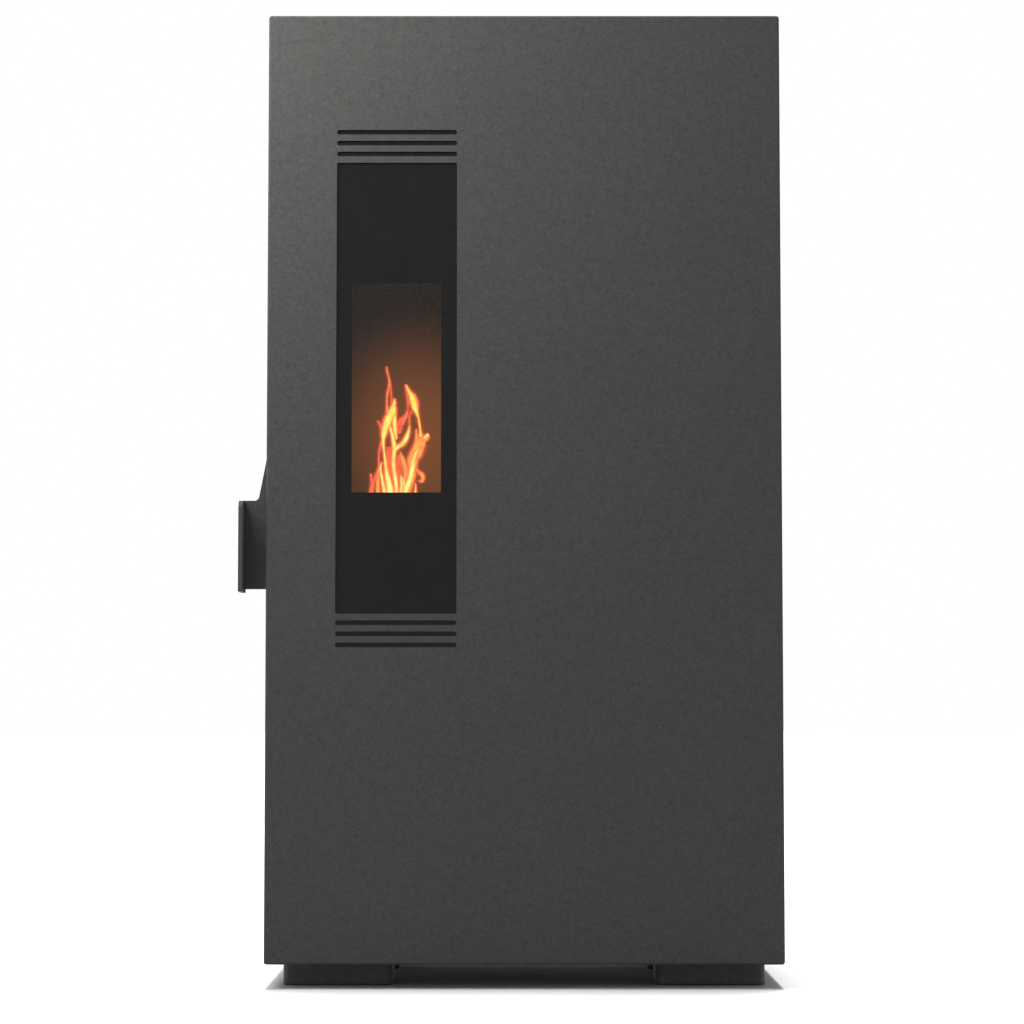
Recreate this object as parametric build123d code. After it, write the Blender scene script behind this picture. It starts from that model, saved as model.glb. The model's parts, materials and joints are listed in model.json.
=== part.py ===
from build123d import *
import math
import os

# A slim free-standing pellet stove. While it is modelled, X runs across the front with 0 at the
# middle of the casing, Y runs from 0 at the door's face back to the wall, and Z is up from the floor.
# At the end every piece is moved together, so that the origin lies under the middle of the whole.

# Casing
stove_width = 550
stove_depth = 320
panel_height = 1015
panel_sheet = 1.5
panel_flange = 10
panel_drop = 2
rear_slack = 0.5
top_sheet = 4
top_edge = 1
tray_sheet = 2
tray_flange = 25
tray_slot_count = 5
tray_slot_length = 180
tray_slot_setback = 60
frame_sheet = 2
frame_return = 20
opening_slack = 0.5

# Feet
foot_height = 28
foot_width = 117
foot_depth = 75
foot_side_inset = 17
foot_end_inset = 12
foot_corner = 8
foot_edge = 2.5

# Vent slots, the same on the door, the sides, the back and the top
slot_height = 5
slot_pitch = 11.8
slot_bridge = 7
door_slot_count = 3
vent_count = 6
side_vent_rise = 80
side_vent_drop = 150
rear_vent_inset = 165
rear_vent_rise = 90
rear_vent_high_rise = 434
blower_vent_rise = 8
grille_slot_length = 39
grille_margin = 10

# Cover screws
screw_radius = 2
screw_head = 4
screw_count = 6
screw_end = 70
screw_inset = 6
screw_length = 6
cross_depth = 1
cross_half = 2
cross_slot = 1

# Door
door_depth = 30
door_gap = 4
door_sheet = 2
door_bend = 2.5
door_corner = 3
door_lip = 9
window_inset = 74
window_width = 129
window_bottom = 396
window_top_inset = 160.5
window_corner = 2
glass_thickness = 4
glass_margin = 10
glass_corner = 4
glass_gasket_thickness = 1.5
glass_gasket_width = 7
retainer_sheet = 2
retainer_slack = 0.5

# Rope seal between the door and the mouth of the firebox
seal_side_margin = 38.5
seal_low_margin = 15.4
seal_high_margin = 14.9
seal_overlap = 10
rope_radius = 5
rope_corner = 20
rope_slack = 0.05
channel_wall = 2
channel_depth = 6.5
seat_gap = 0.3

# Door hinge
hinge_inset = 8
hinge_setback = 22
hinge_level = 24
hinge_pin_radius = 4
hinge_pin_end = 3
arm_thickness = 4
arm_wall = 2
lug_height = 12
lug_half_width = 8
lug_reach = 7
tab_height = 36
tab_width = 22
running_gap = 0.05
notch_gap = 3
notch_reach = 8

# Door handle
lever_sheet = 4.5
lever_reach = 28.2
lever_pin_inset = 19
lever_pin_setback = 24
lever_slot_room = 10
lever_slot_gap = 1
lever_bend = 4
grip_bottom = 419
grip_height = 99
grip_depth = 36
grip_corner = 9
grip_low_corner = 2
lip_drop = 2
plate_rise = 4
plate_elbow = 5
shoulder_height = 62
shoulder_width = 18
shoulder_slope = 12
barrel_radius = 6.5
ear_thickness = 6
ear_slack = 0.5
ear_nose = 6
bracket_sheet = 3

# The handle's hook and its catch
hook_height = 10
hook_arm = 6
hook_length = 34
hook_room = 4
hook_side_room = 6
claw_length = 9
claw_thickness = 6
claw_room = 1.5
catch_radius = 3.5
catch_gap = 0.5
catch_ear = 4
catch_ear_gap = 6
catch_ear_half = 6
catch_ear_reach = 8

# Firebox
firebox_wall = 3
mouth_flange = 22
mouth_plate = 3
liner_thickness = 8
liner_setback = 8
fireback_thickness = 12
fireback_edge = 2
smoke_passage = 111
smoke_gap = 19
smoke_hole_depth = 29
smoke_hole_setback = 8
smoke_hole_slack = 2
baffle_depth = 137
baffle_slack = 1
hearth_height = 145
hearth_sheet = 4
hearth_lap = 2

# Burn pot and the air box that holds it
pot_width = 96
pot_depth = 86
pot_height = 70
pot_rise = 32
pot_wall = 4
pot_rim = 8
pot_slack = 1
pot_gap = 33.5
pot_hole = 6
pot_hole_pitch = 16
pot_hole_drop = 12
air_box_margin = 10
air_box_height = 50
ash_slot = 18
ash_slot_gap = 3
ash_slot_setback = 24
ash_slot_back_gap = 10

# Ash drawer
drawer_height = 75
drawer_sheet = 1.5
drawer_side_gap = 8
drawer_front_gap = 14
drawer_back_gap = 44
drawer_pull = 12
drawer_pull_width = 72
drawer_pull_drop = 20
drawer_pull_lip = 8

# Combustion air and ignition
intake_radius = 25
intake_wall = 1.5
intake_reach = 30
intake_rim = 8
intake_drop = 5
intake_hole_slack = 2
igniter_radius = 8
igniter_wall = 2
igniter_offset = 27
igniter_drop = 12
igniter_gap = 2
igniter_mouth = 30
igniter_tail = 14
igniter_rim = 6
igniter_flange = 3
heater_radius = 5
heater_setback = 4

# Smoke extractor and flue
smoke_duct_width = 106
smoke_duct_depth = 111
smoke_duct_setback = 12
duct_sheet = 2
scroll_radius = 78
scroll_height = 86
scroll_top = 198
scroll_setback = 83.5
outlet_width = 82
outlet_reach = 7
smoke_inlet_radius = 38
impeller_radius = 58
impeller_height = 50
impeller_blades = 14
blade_thickness = 2
blade_root = 32
blade_tip_gap = 1
blade_lean = 25
hub_height = 20
hub_wall = 8
shaft_radius = 4
shaft_room = 2
shaft_end = 10
motor_radius = 42
motor_height = 60
motor_waist = 4
motor_cap = 12
motor_collar = 4
motor_bore_end = 8
flue_radius = 40
flue_wall = 1.5
flue_flange = 3
flue_reach = 40
flue_hole_slack = 3

# Room air blower, finned back and duct
fin_count = 8
fin_thickness = 3
fin_depth = 32
fin_base = 3
fin_bottom = 590
fin_inset = 6
air_duct_depth = 52
air_sheet = 1.5
rear_gap = 18
blower_bottom = 502
blower_height = 71
blower_radius = 26
blower_front = 7
blower_floor = 7
blower_back = 3
blower_outlet_gap = 2
blower_slot_low = 16
blower_slot_high = 12
rotor_radius = 23
rotor_blades = 20
rotor_end = 3
rotor_end_gap = 4
rotor_blade_depth = 5.5
rotor_blade_inset = 0.5
rotor_blade = 1.2
blower_shaft_room = 1
blower_shaft_end = 6
blower_motor_radius = 25
blower_motor_length = 30
blower_motor_end = 5

# Hopper and its grille
hopper_gap = 35.5
hopper_setback = 8
hopper_side_gap = 13
hopper_sheet = 1.5
hopper_wall_bottom = 760
throat_width = 56
throat_setback = 63.3
throat_height = 55
grille_bar = 2.5
grille_count = 8
grille_drop = 32
grille_rod_inset = 63

# Hopper lid
hatch_inset = 10
hatch_back_gap = 22
lid_overlap = 9
lid_height = 7.5
lid_sheet = 2
lid_edge = 1.5
lid_grip_width = 90
lid_grip_depth = 9
lid_grip_corner = 5
lid_hinge_inset = 40
lid_hinge_radius = 2.5
lid_hinge_gap = 2
lid_pin_end = 2
lid_knuckle = 5
lid_knuckle_width = 24
lid_strap_lap = 3
lid_fork_width = 5
lid_fork_half = 4
lid_fork_gap = 1
lid_fork_foot = 4
lid_fork_sheet = 3
lid_gasket_width = 6
lid_gasket_gap = 0.5
lid_skirt_gap = 0.5

# Auger
auger_angle = 45
auger_inset = 100
auger_low_z = 490
auger_gap = 58.7
auger_tube_radius = 30
auger_tube_wall = 2.5
auger_radius = 25
auger_shaft = 8
auger_pitch = 40
auger_flight = 2.5
auger_end_gap = 6
flight_root = 1
flight_end_gap = 2
bush_radius = 12
bush_length = 8
bush_rim = 4
bush_flange = 3
gearmotor_length = 88
gearmotor_width = 62
gearbox_corner = 5
gearmotor_waist = 4
chute_width = 66
chute_sheet = 1.5
chute_slack = 1
chute_collar = 3
chute_rise = 48
chute_mouth = 42
chute_lip = 3.5
chute_top_lip = 1
chute_shoulder = 12
chute_shoulder_rise = 10

# Control panel on the top plate
control_width = 150
control_depth = 48
control_inset = 40
control_front = 14
control_corner = 4
bezel_height = 4
bezel_edge = 1
tub_inset = 4
tub_depth = 19
tub_wall = 1.5
tub_slack = 0.5
pad_drop = 3.5
pad_thickness = 2
display_inset = 10
display_width = 56
display_depth = 32
display_glass = 2
button_count = 4
button_gap = 8
button_radius = 6
button_pitch = 18
button_travel = 1.2
button_rise = 1.3
button_edge = 0.8
button_rim = 1.5

# Control board
board_width = 160
board_height = 180
board_sheet = 1.6
board_standoff = 15
board_setback = 40
board_rise = 15
standoff_radius = 4
standoff_inset = 10
transformer_depth = 32
transformer_width = 45
transformer_height = 40
transformer_inset = 15
relay_depth = 16
relay_width = 14
relay_height = 22
relay_rise = 18
terminal_depth = 10
terminal_width = 16
terminal_height = 14
terminal_drop = 26
relay_start = 76
relay_pitch = 20
capacitor_radius = 8
capacitor_length = 24
capacitor_start = 90
capacitor_pitch = 22
capacitor_rise = 80
chip_depth = 4
chip_side = 24
chip_inset = 30
chip_rise = 90

# Pressure switch
switch_inset = 205
switch_setback = 60
switch_radius = 25
switch_neck = 17
switch_neck_height = 10
switch_height = 16
switch_cap = 7
switch_cap_height = 8
nipple_radius = 3
nipple_reach = 12
nipple_rise = 18

# Mains inlet with its switch, and the safety thermostat beside it
inlet_width = 50
inlet_height = 76
inlet_inset = 65
inlet_bottom = 60
inlet_depth = 28
inlet_rim = 4
inlet_rim_height = 3
socket_width = 30
socket_height = 25
socket_depth = 18
socket_rise = 8
pin_pitch = 7
pin_half = 1
pin_height = 8
pin_rise = 17
pin_recess = 2
rocker_drop = 16
rocker_out = 1
rocker_width = 27.4
rocker_height = 18
rocker_half = 4
rocker_well_width = 28
rocker_well_height = 22
rocker_well_depth = 12
rocker_dish = 42
rocker_tilt = 8
rocker_pin_radius = 1.5
rocker_pin_length = 1.3
rocker_pin_room = 0.5
cap_radius = 9
cap_height = 12
cap_offset = 70
cap_rise = 20
cap_notches = 12
cap_notch = 1
cap_notch_out = 0.4

# How far a cut runs past the face that it opens
overrun = 1

# Places worked out from the sizes above
half_width = stove_width / 2
panel_bottom = foot_height - panel_drop
panel_top = panel_bottom + panel_height
casing_front = door_depth + door_gap
cover_top = panel_top - top_sheet
side_inner = half_width - panel_sheet
tray_floor = foot_height + tray_sheet
frame_front = casing_front + panel_sheet
frame_back = frame_front + frame_sheet
rear_face = stove_depth
rear_inner = rear_face - panel_sheet
flange_back = rear_inner - panel_sheet
frame_top = cover_top - panel_sheet

window_left = -half_width + window_inset
window_right = window_left + window_width
window_x = (window_left + window_right) / 2
window_top = panel_top - window_top_inset
slot_first = slot_bridge + slot_height / 2
slot_band = slot_bridge + slot_height + (door_slot_count - 1) * slot_pitch
glass_front = door_sheet + glass_gasket_thickness
glass_back = glass_front + glass_thickness
pane_left = window_left - glass_margin
pane_right = window_right + glass_margin
pane_bottom = window_bottom - slot_band - glass_margin
pane_top = window_top + slot_band + glass_margin

seal_left = window_left - seal_side_margin
seal_right = window_right + seal_side_margin
seal_bottom = pane_bottom - seal_low_margin
seal_top = pane_top + seal_high_margin
mouth_face = frame_front - mouth_plate
rope_back = mouth_face - seat_gap
channel_half = rope_radius + channel_wall
channel_floor = rope_back - 2 * rope_radius

hinge_x = half_width - hinge_inset
low_arm = panel_bottom + hinge_level
high_arm = panel_top - hinge_level - arm_thickness
low_lug = (low_arm + arm_thickness, low_arm + arm_thickness + lug_height)
high_lug = (high_arm - seat_gap - lug_height, high_arm - seat_gap)
lever_x = -half_width + lever_pin_inset
grip_outer = -half_width - lever_reach
grip_top = grip_bottom + grip_height
lever_bottom = grip_bottom + plate_rise
lever_top = grip_top + shoulder_height
lever_front = lever_pin_setback - lever_sheet / 2
lever_back = lever_front + lever_sheet
grip_front = lever_front - grip_depth
hook_bottom = (lever_bottom + lever_top) / 2
hook_top = hook_bottom + hook_height
hook_left = lever_x - hook_arm / 2
claw_tip = lever_x + hook_arm / 2 + claw_length
claw_front = lever_pin_setback + hook_length - claw_thickness
claw_back = claw_front + claw_thickness
catch_x = lever_x + hook_arm / 2 + catch_gap + catch_radius
catch_y = claw_front - catch_gap - catch_radius

air_back = rear_inner - rear_gap
box_shell_back = air_back - air_duct_depth
box_back = box_shell_back - firebox_wall
box_left = seal_left + seal_overlap
box_right = seal_right - seal_overlap
box_bottom = seal_bottom + seal_overlap
box_top = seal_top - seal_overlap
hearth_front = frame_back + liner_setback
hearth_bottom = box_bottom + hearth_height
hearth_top = hearth_bottom + hearth_sheet
fireback_back = box_back - smoke_gap
fireback_front = fireback_back - fireback_thickness
fireback_top = box_top - smoke_passage
pot_y = fireback_front - pot_gap - pot_depth / 2
pot_bottom = hearth_top + pot_rise - pot_height
pot_top = hearth_top + pot_rise
intake_z = hearth_bottom - air_box_height / 2 - intake_drop
intake_x = window_x - igniter_offset
igniter_x = window_x + igniter_offset
igniter_z = hearth_bottom - igniter_radius - igniter_drop

scroll_y = box_shell_back - scroll_setback
scroll_bottom = scroll_top - scroll_height
flue_x = window_x + scroll_radius - outlet_width / 2
flue_z = scroll_top - scroll_height / 2
outlet_end = scroll_y + scroll_radius + outlet_reach
duct_bottom = box_bottom - firebox_wall

blower_top = blower_bottom + blower_height
rotor_y = box_shell_back + blower_front + blower_radius
rotor_z = blower_bottom + blower_floor + blower_radius

hopper_left = box_right + hopper_gap
hopper_right = half_width - hopper_side_gap
hopper_lip = hopper_side_gap - panel_flange
hopper_front = frame_back + hopper_setback
hopper_back = air_back
hatch_left = hopper_left + hatch_inset
hatch_right = hopper_right - hatch_inset
hatch_front = hopper_front + hatch_inset
hatch_back = hopper_back - hatch_back_gap
lid_axis_y = hatch_back + lid_overlap + lid_knuckle + lid_hinge_gap
lid_axis_z = panel_top + lid_knuckle + seat_gap
lid_top = panel_top + lid_height

auger_rise = math.radians(auger_angle)
auger_low_x = half_width - auger_inset
auger_high_x = box_right + auger_gap
auger_length = (auger_low_x - auger_high_x) / math.cos(auger_rise)
auger_high_z = auger_low_z + auger_length * math.sin(auger_rise)
auger_y = pot_y
throat_x = auger_low_x - throat_setback
throat_z = auger_low_z + throat_setback * math.tan(auger_rise)
funnel_bottom = throat_z + auger_tube_radius + throat_height
chute_exit_x = window_x + pot_width / 2
chute_exit_z = pot_top + chute_rise
auger_place = Pos(auger_low_x, auger_y, auger_low_z) * Rot(0, auger_angle - 90, 0)

control_left = -half_width + control_inset
control_y = casing_front + control_front
bezel_top = panel_top + bezel_height
pad_top = panel_top - pad_drop
button_y = control_y + control_depth / 2
display_left = control_left + display_inset
first_button_x = display_left + display_width + button_gap + button_radius
inlet_x = half_width - inlet_inset
rocker_y = rear_face + rocker_out
rocker_z = inlet_bottom + inlet_height - rocker_drop

# The whole reaches from the grip to the right side, and from the grip's lip to the end of the flue
middle_x = (grip_outer + half_width) / 2
middle_y = (grip_front + rear_face + flue_reach) / 2
row_place = Pos(-middle_x, -middle_y, 0)


def block(xs, ys, zs):
    size = (xs[1] - xs[0], ys[1] - ys[0], zs[1] - zs[0])
    return Pos((xs[0] + xs[1]) / 2, (ys[0] + ys[1]) / 2, (zs[0] + zs[1]) / 2) * Box(*size)


def group(parts):
    return Compound([solid for part in parts for solid in part.solids()])


def span(a, b):
    return (min(a, b), max(a, b))


def about(middle, half):
    return (middle - half, middle + half)


def grown(ends, extra):
    return (ends[0] - extra, ends[1] + extra)


def past(ends):
    return grown(ends, overrun)


def upright(x, y, zs, radius):
    return Pos(x, y, (zs[0] + zs[1]) / 2) * Cylinder(radius, zs[1] - zs[0])


def rod_y(x, ys, z, radius):
    return Pos(x, (ys[0] + ys[1]) / 2, z) * Rot(90, 0, 0) * Cylinder(radius, ys[1] - ys[0])


def rod_x(xs, y, z, radius):
    return Pos((xs[0] + xs[1]) / 2, y, z) * Rot(0, 90, 0) * Cylinder(radius, xs[1] - xs[0])


def plate_xz(points, ys):
    face = Plane.XZ * make_face(Polyline(*points, close=True))
    return Pos(0, ys[0], 0) * extrude(face, ys[1] - ys[0], dir=(0, 1, 0))


def frame_ring(xs, zs, width, ys):
    return block(xs, ys, zs) - block(grown(xs, -width), ys, grown(zs, -width))


def rounded_ring(xs, zs, corner, width, ys):
    outer = block(xs, ys, zs)
    outer = fillet(outer.edges().filter_by(Axis.Y), corner)
    inner = block(grown(xs, -width), ys, grown(zs, -width))
    return outer - fillet(inner.edges().filter_by(Axis.Y), corner - width)


def corners(xs, ys, inset):
    (left, right), (near, far) = grown(xs, -inset), grown(ys, -inset)
    return [(left, near), (right, near), (right, far), (left, far)]


def mitred_walls(low, high, zs, width):
    # Four flat sheets from a low rectangle up to a high one, mitred where they meet at the corners
    walls = []
    for first in range(4):
        second = (first + 1) % 4
        ends = []
        for (xs, ys), z in ((low, zs[0]), (high, zs[1])):
            outer = corners(xs, ys, 0)
            inner = corners(xs, ys, width)
            outline = Polyline(outer[first], outer[second], inner[second], inner[first], close=True)
            ends.append((Pos(0, 0, z) * make_face(outline)).face())
        walls.append(loft(ends, ruled=True))
    return walls


def slot_y(x, z, length, ys):
    # A slot with round ends, cut through a sheet that faces front or back
    half = (length - slot_height) / 2
    cut = block(about(x, half), ys, about(z, slot_height / 2))
    for end in about(x, half):
        cut += rod_y(end, ys, z, slot_height / 2)
    return cut


def slot_x(y, z, length, xs):
    half = (length - slot_height) / 2
    cut = block(xs, about(y, half), about(z, slot_height / 2))
    for end in about(y, half):
        cut += rod_x(xs, end, z, slot_height / 2)
    return cut


def slot_z(x, y, length, zs):
    half = (length - slot_height) / 2
    cut = block(about(x, slot_height / 2), about(y, half), zs)
    for end in about(y, half):
        cut += upright(x, end, zs, slot_height / 2)
    return cut


def feet():
    blocks = []
    near = casing_front + foot_end_inset
    far = rear_face - foot_end_inset - foot_depth
    for side in (-1, 1):
        for front in (near, far):
            outer = side * (half_width - foot_side_inset)
            inner = outer - side * foot_width
            foot = block(span(outer, inner), (front, front + foot_depth), (0, foot_height))
            foot = fillet(foot.edges().filter_by(Axis.Z), foot_corner)
            foot = fillet(foot.faces().sort_by(Axis.Z)[0].edges(), foot_edge)
            blocks.append(foot)
    return group(blocks)


def base_tray():
    xs = about(0, side_inner)
    tray = block(xs, (frame_front, flange_back), (foot_height, tray_floor))
    wall_zs = (tray_floor, tray_floor + tray_flange)
    for side in (-1, 1):
        inner = side * (side_inner - tray_sheet)
        tray += block(span(side * side_inner, inner), (frame_back, flange_back), wall_zs)
    tray += block(xs, (frame_back, frame_back + tray_sheet), wall_zs)
    tray += block(xs, (flange_back - tray_sheet, flange_back), wall_zs)
    for index in range(tray_slot_count):
        y = frame_back + tray_slot_setback + index * 2 * slot_pitch
        tray -= Rot(0, 0, 90) * slot_z(y, 0, tray_slot_length, past((foot_height, tray_floor)))
    return tray


def front_frame():
    xs = about(0, side_inner)
    frame = block(xs, (frame_front, frame_back), (tray_floor, frame_top))
    for side in (-1, 1):
        inner = side * (side_inner - frame_sheet)
        zs = (tray_floor + tray_flange, frame_top)
        frame += block(span(side * side_inner, inner), (frame_back, frame_back + frame_return), zs)
    through = past((frame_front, frame_back))
    clear = firebox_wall + opening_slack
    frame -= block(grown((box_left, box_right), clear), through, grown((box_bottom, box_top), clear))
    hook_xs = (hook_left - hook_side_room, claw_tip + claw_room)
    return frame - block(hook_xs, through, grown((hook_bottom, hook_top), hook_room))


def side_panel(side):
    zs = (panel_bottom, cover_top)
    outer = side * half_width

    def strip(width, ys, heights):
        return block(span(outer, outer - side * width), ys, heights)

    panel = strip(panel_sheet, (casing_front, rear_inner), zs)
    panel += strip(panel_flange, (casing_front, frame_front), zs)
    panel += strip(panel_flange, (flange_back, rear_inner), zs)
    panel += strip(panel_flange, (casing_front, rear_inner), (frame_top, cover_top))
    middle = (casing_front + rear_face) / 2
    through = past(span(outer, side * side_inner))
    for start in (panel_bottom + side_vent_rise, panel_top - side_vent_drop):
        for index in range(vent_count):
            panel -= slot_x(middle, start + index * slot_pitch, window_width, through)
    for x, z in screw_places():
        if x * side > 0:
            panel -= rod_y(x, past((flange_back, rear_inner)), z, screw_radius)
    return panel


def screw_places():
    low = panel_bottom + screw_end
    step = (panel_height - 2 * screw_end) / (screw_count - 1)
    sides = about(0, half_width - screw_inset)
    return [(x, low + index * step) for x in sides for index in range(screw_count)]


def cover_screws():
    screws = []
    cross_ys = (rear_face + screw_radius - cross_depth, rear_face + screw_radius + overrun)
    for x, z in screw_places():
        shank = rod_y(x, (flange_back - screw_length, rear_face), z, screw_radius)
        head = rod_y(x, (rear_face, rear_face + screw_radius), z, screw_head)
        cross = block(about(x, cross_half), cross_ys, about(z, cross_slot / 2))
        cross += block(about(x, cross_slot / 2), cross_ys, about(z, cross_half))
        screws.append(shank + head - cross)
    return group(screws)


def rear_panel():
    through = past((rear_inner, rear_face))
    zs = (panel_bottom, cover_top - seat_gap)
    panel = block(about(0, half_width - rear_slack), (rear_inner, rear_face), zs)
    panel -= rod_y(flue_x, through, flue_z, flue_radius + flue_hole_slack)
    panel -= rod_y(intake_x, through, intake_z, intake_radius + intake_hole_slack)
    inlet_zs = (inlet_bottom, inlet_bottom + inlet_height)
    panel -= block(about(inlet_x, inlet_width / 2), through, inlet_zs)
    for index in range(int(blower_height / slot_pitch)):
        z = blower_bottom + blower_vent_rise + index * slot_pitch
        panel -= slot_y(window_x, z, window_width, through)
    for rise in (rear_vent_rise, rear_vent_high_rise):
        for index in range(vent_count):
            z = panel_bottom + rise + index * slot_pitch
            panel -= slot_y(half_width - rear_vent_inset, z, window_width, through)
    for x, z in screw_places():
        panel -= rod_y(x, through, z, screw_radius)
    return panel


def top_plate():
    through = past((cover_top, panel_top))
    plate = block(about(0, half_width), (casing_front, rear_face), (cover_top, panel_top))
    plate = fillet(plate.faces().sort_by(Axis.Z)[-1].edges(), top_edge)
    plate -= block((hatch_left, hatch_right), (hatch_front, hatch_back), through)
    plate -= tub_outline(through, tub_slack)
    grille_y = (box_shell_back + air_back) / 2
    count = int((box_right - box_left - 2 * grille_margin) / slot_pitch)
    for index in range(count):
        x = window_x + (index - (count - 1) / 2) * slot_pitch
        plate -= slot_z(x, grille_y, grille_slot_length, through)
    return plate


def door_skin():
    zs = (panel_bottom, panel_top)
    inner_xs = about(0, half_width - door_sheet)
    inner_zs = grown(zs, -door_sheet)
    skin = block(about(0, half_width), (0, door_depth), zs)
    skin = fillet(skin.edges().filter_by(Axis.Y), door_corner)
    skin = fillet(skin.faces().sort_by(Axis.Y)[0].edges(), door_bend)
    skin -= block(inner_xs, (door_sheet, door_depth + overrun), inner_zs)
    lip = frame_ring(inner_xs, inner_zs, door_lip, (door_depth - door_sheet, door_depth))
    lip -= block((inner_xs[1] - door_lip, half_width), (0, door_depth + overrun), inner_zs)
    skin += lip
    through = past((0, door_sheet))
    window = block((window_left, window_right), through, (window_bottom, window_top))
    skin -= fillet(window.edges().filter_by(Axis.Y), window_corner)
    for index in range(door_slot_count):
        step = slot_first + index * slot_pitch
        skin -= slot_y(window_x, window_top + step, window_width, through)
        skin -= slot_y(window_x, window_bottom - step, window_width, through)
    right = past((half_width - door_sheet, half_width))
    for arm in (low_arm, high_arm):
        notch = grown((arm, arm + arm_thickness), notch_gap)
        skin -= block(right, (hinge_setback - notch_reach, door_depth + overrun), notch)
    left = past((-half_width, -half_width + door_sheet))
    lever_slot = (lever_front - lever_slot_room, lever_back + lever_slot_gap)
    return skin - block(left, lever_slot, grown((lever_bottom, lever_top), notch_gap))


def door_glass():
    pane = block((pane_left, pane_right), (glass_front, glass_back), (pane_bottom, pane_top))
    return fillet(pane.edges().filter_by(Axis.Y), glass_corner)


def glass_gasket():
    ys = (door_sheet, glass_front)
    return frame_ring((pane_left, pane_right), (pane_bottom, pane_top), glass_gasket_width, ys)


def glass_retainer():
    # An angle frame behind the pane: its wall stands on the door skin, its flange holds the glass
    clear = retainer_slack + retainer_sheet
    xs = grown((pane_left, pane_right), clear)
    zs = grown((pane_bottom, pane_top), clear)
    back = glass_back + retainer_sheet
    wall = frame_ring(xs, zs, retainer_sheet, (door_sheet, back))
    return wall + frame_ring(xs, zs, clear + glass_gasket_width, (glass_back, back))


def seal_channel():
    xs = grown((seal_left, seal_right), channel_half)
    zs = grown((seal_bottom, seal_top), channel_half)
    rim = channel_floor + channel_depth
    floor = (channel_floor - channel_wall, channel_floor)
    corner = rope_corner + channel_half
    ring = rounded_ring(xs, zs, corner, channel_wall, (door_sheet, rim))
    ring += rounded_ring(xs, zs, corner, 2 * channel_half, floor)
    step = 2 * channel_half - channel_wall
    wall = rounded_ring(grown(xs, -step), grown(zs, -step), corner - step, channel_wall, (floor[0], rim))
    return ring + wall


def door_rope_gasket():
    middle = (seal_bottom + seal_top) / 2
    outline = RectangleRounded(seal_right - seal_left, seal_top - seal_bottom, rope_corner)
    path = Pos(window_x, 0, middle) * Rot(90, 0, 0) * outline
    route = Pos(0, rope_back - rope_radius, 0) * path.face().outer_wire()
    section = Plane(origin=route @ 0, z_dir=route % 0) * Circle(rope_radius - rope_slack)
    return sweep(section, path=route, transition=Transition.RIGHT)


def hinge_brackets():
    brackets = []
    arm_half = hinge_pin_radius + arm_wall
    inner = hinge_x - lug_half_width - tab_width
    for arm in (low_arm, high_arm):
        zs = (arm, arm + arm_thickness)
        tab_zs = about(arm + arm_thickness / 2, tab_height / 2)
        tab = block((inner, inner + tab_width), (frame_front - frame_sheet, frame_front), tab_zs)
        web = block((inner, hinge_x + arm_half), (hinge_setback, casing_front), zs)
        web += block((inner, half_width - panel_flange), (hinge_setback, frame_front), zs)
        nose = upright(hinge_x, hinge_setback, zs, arm_half)
        bracket = tab + web + nose
        brackets.append(bracket - upright(hinge_x, hinge_setback, zs, hinge_pin_radius))
    return group(brackets)


def hinge_pins():
    # Two door pins, and the two pins of the hopper lid
    low = (low_arm - hinge_pin_end, low_lug[1])
    high = (high_lug[0], high_arm + arm_thickness + hinge_pin_end)
    pins = [upright(hinge_x, hinge_setback, zs, hinge_pin_radius) for zs in (low, high)]
    half = lid_knuckle_width / 2 + lid_fork_width + lid_pin_end
    for x in lid_hinge_places():
        pins.append(rod_x(about(x, half), lid_axis_y, lid_axis_z, lid_hinge_radius))
    return group(pins)


def hinge_lugs():
    lugs = []
    xs = (hinge_x - lug_half_width, half_width - door_sheet)
    for zs in (low_lug, high_lug):
        lug = block(xs, (door_sheet, hinge_setback + lug_reach), zs)
        lugs.append(lug - upright(hinge_x, hinge_setback, zs, hinge_pin_radius + running_gap))
    return group(lugs)


def handle_bracket():
    # A foot welded to the door skin, with two ears that carry the handle's pin
    xs = about(lever_x, barrel_radius + ear_slack)
    low = (lever_bottom - seat_gap - ear_thickness, lever_bottom - seat_gap)
    high = (lever_top + seat_gap, lever_top + seat_gap + ear_thickness)
    bracket = block(xs, (door_sheet, door_sheet + bracket_sheet), (low[0], high[1]))
    for zs in (low, high):
        bracket += block(xs, (door_sheet, lever_pin_setback), zs)
        bracket += upright(lever_x, lever_pin_setback, zs, ear_nose)
    return bracket + upright(lever_x, lever_pin_setback, (low[0], high[1]), hinge_pin_radius)


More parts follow.
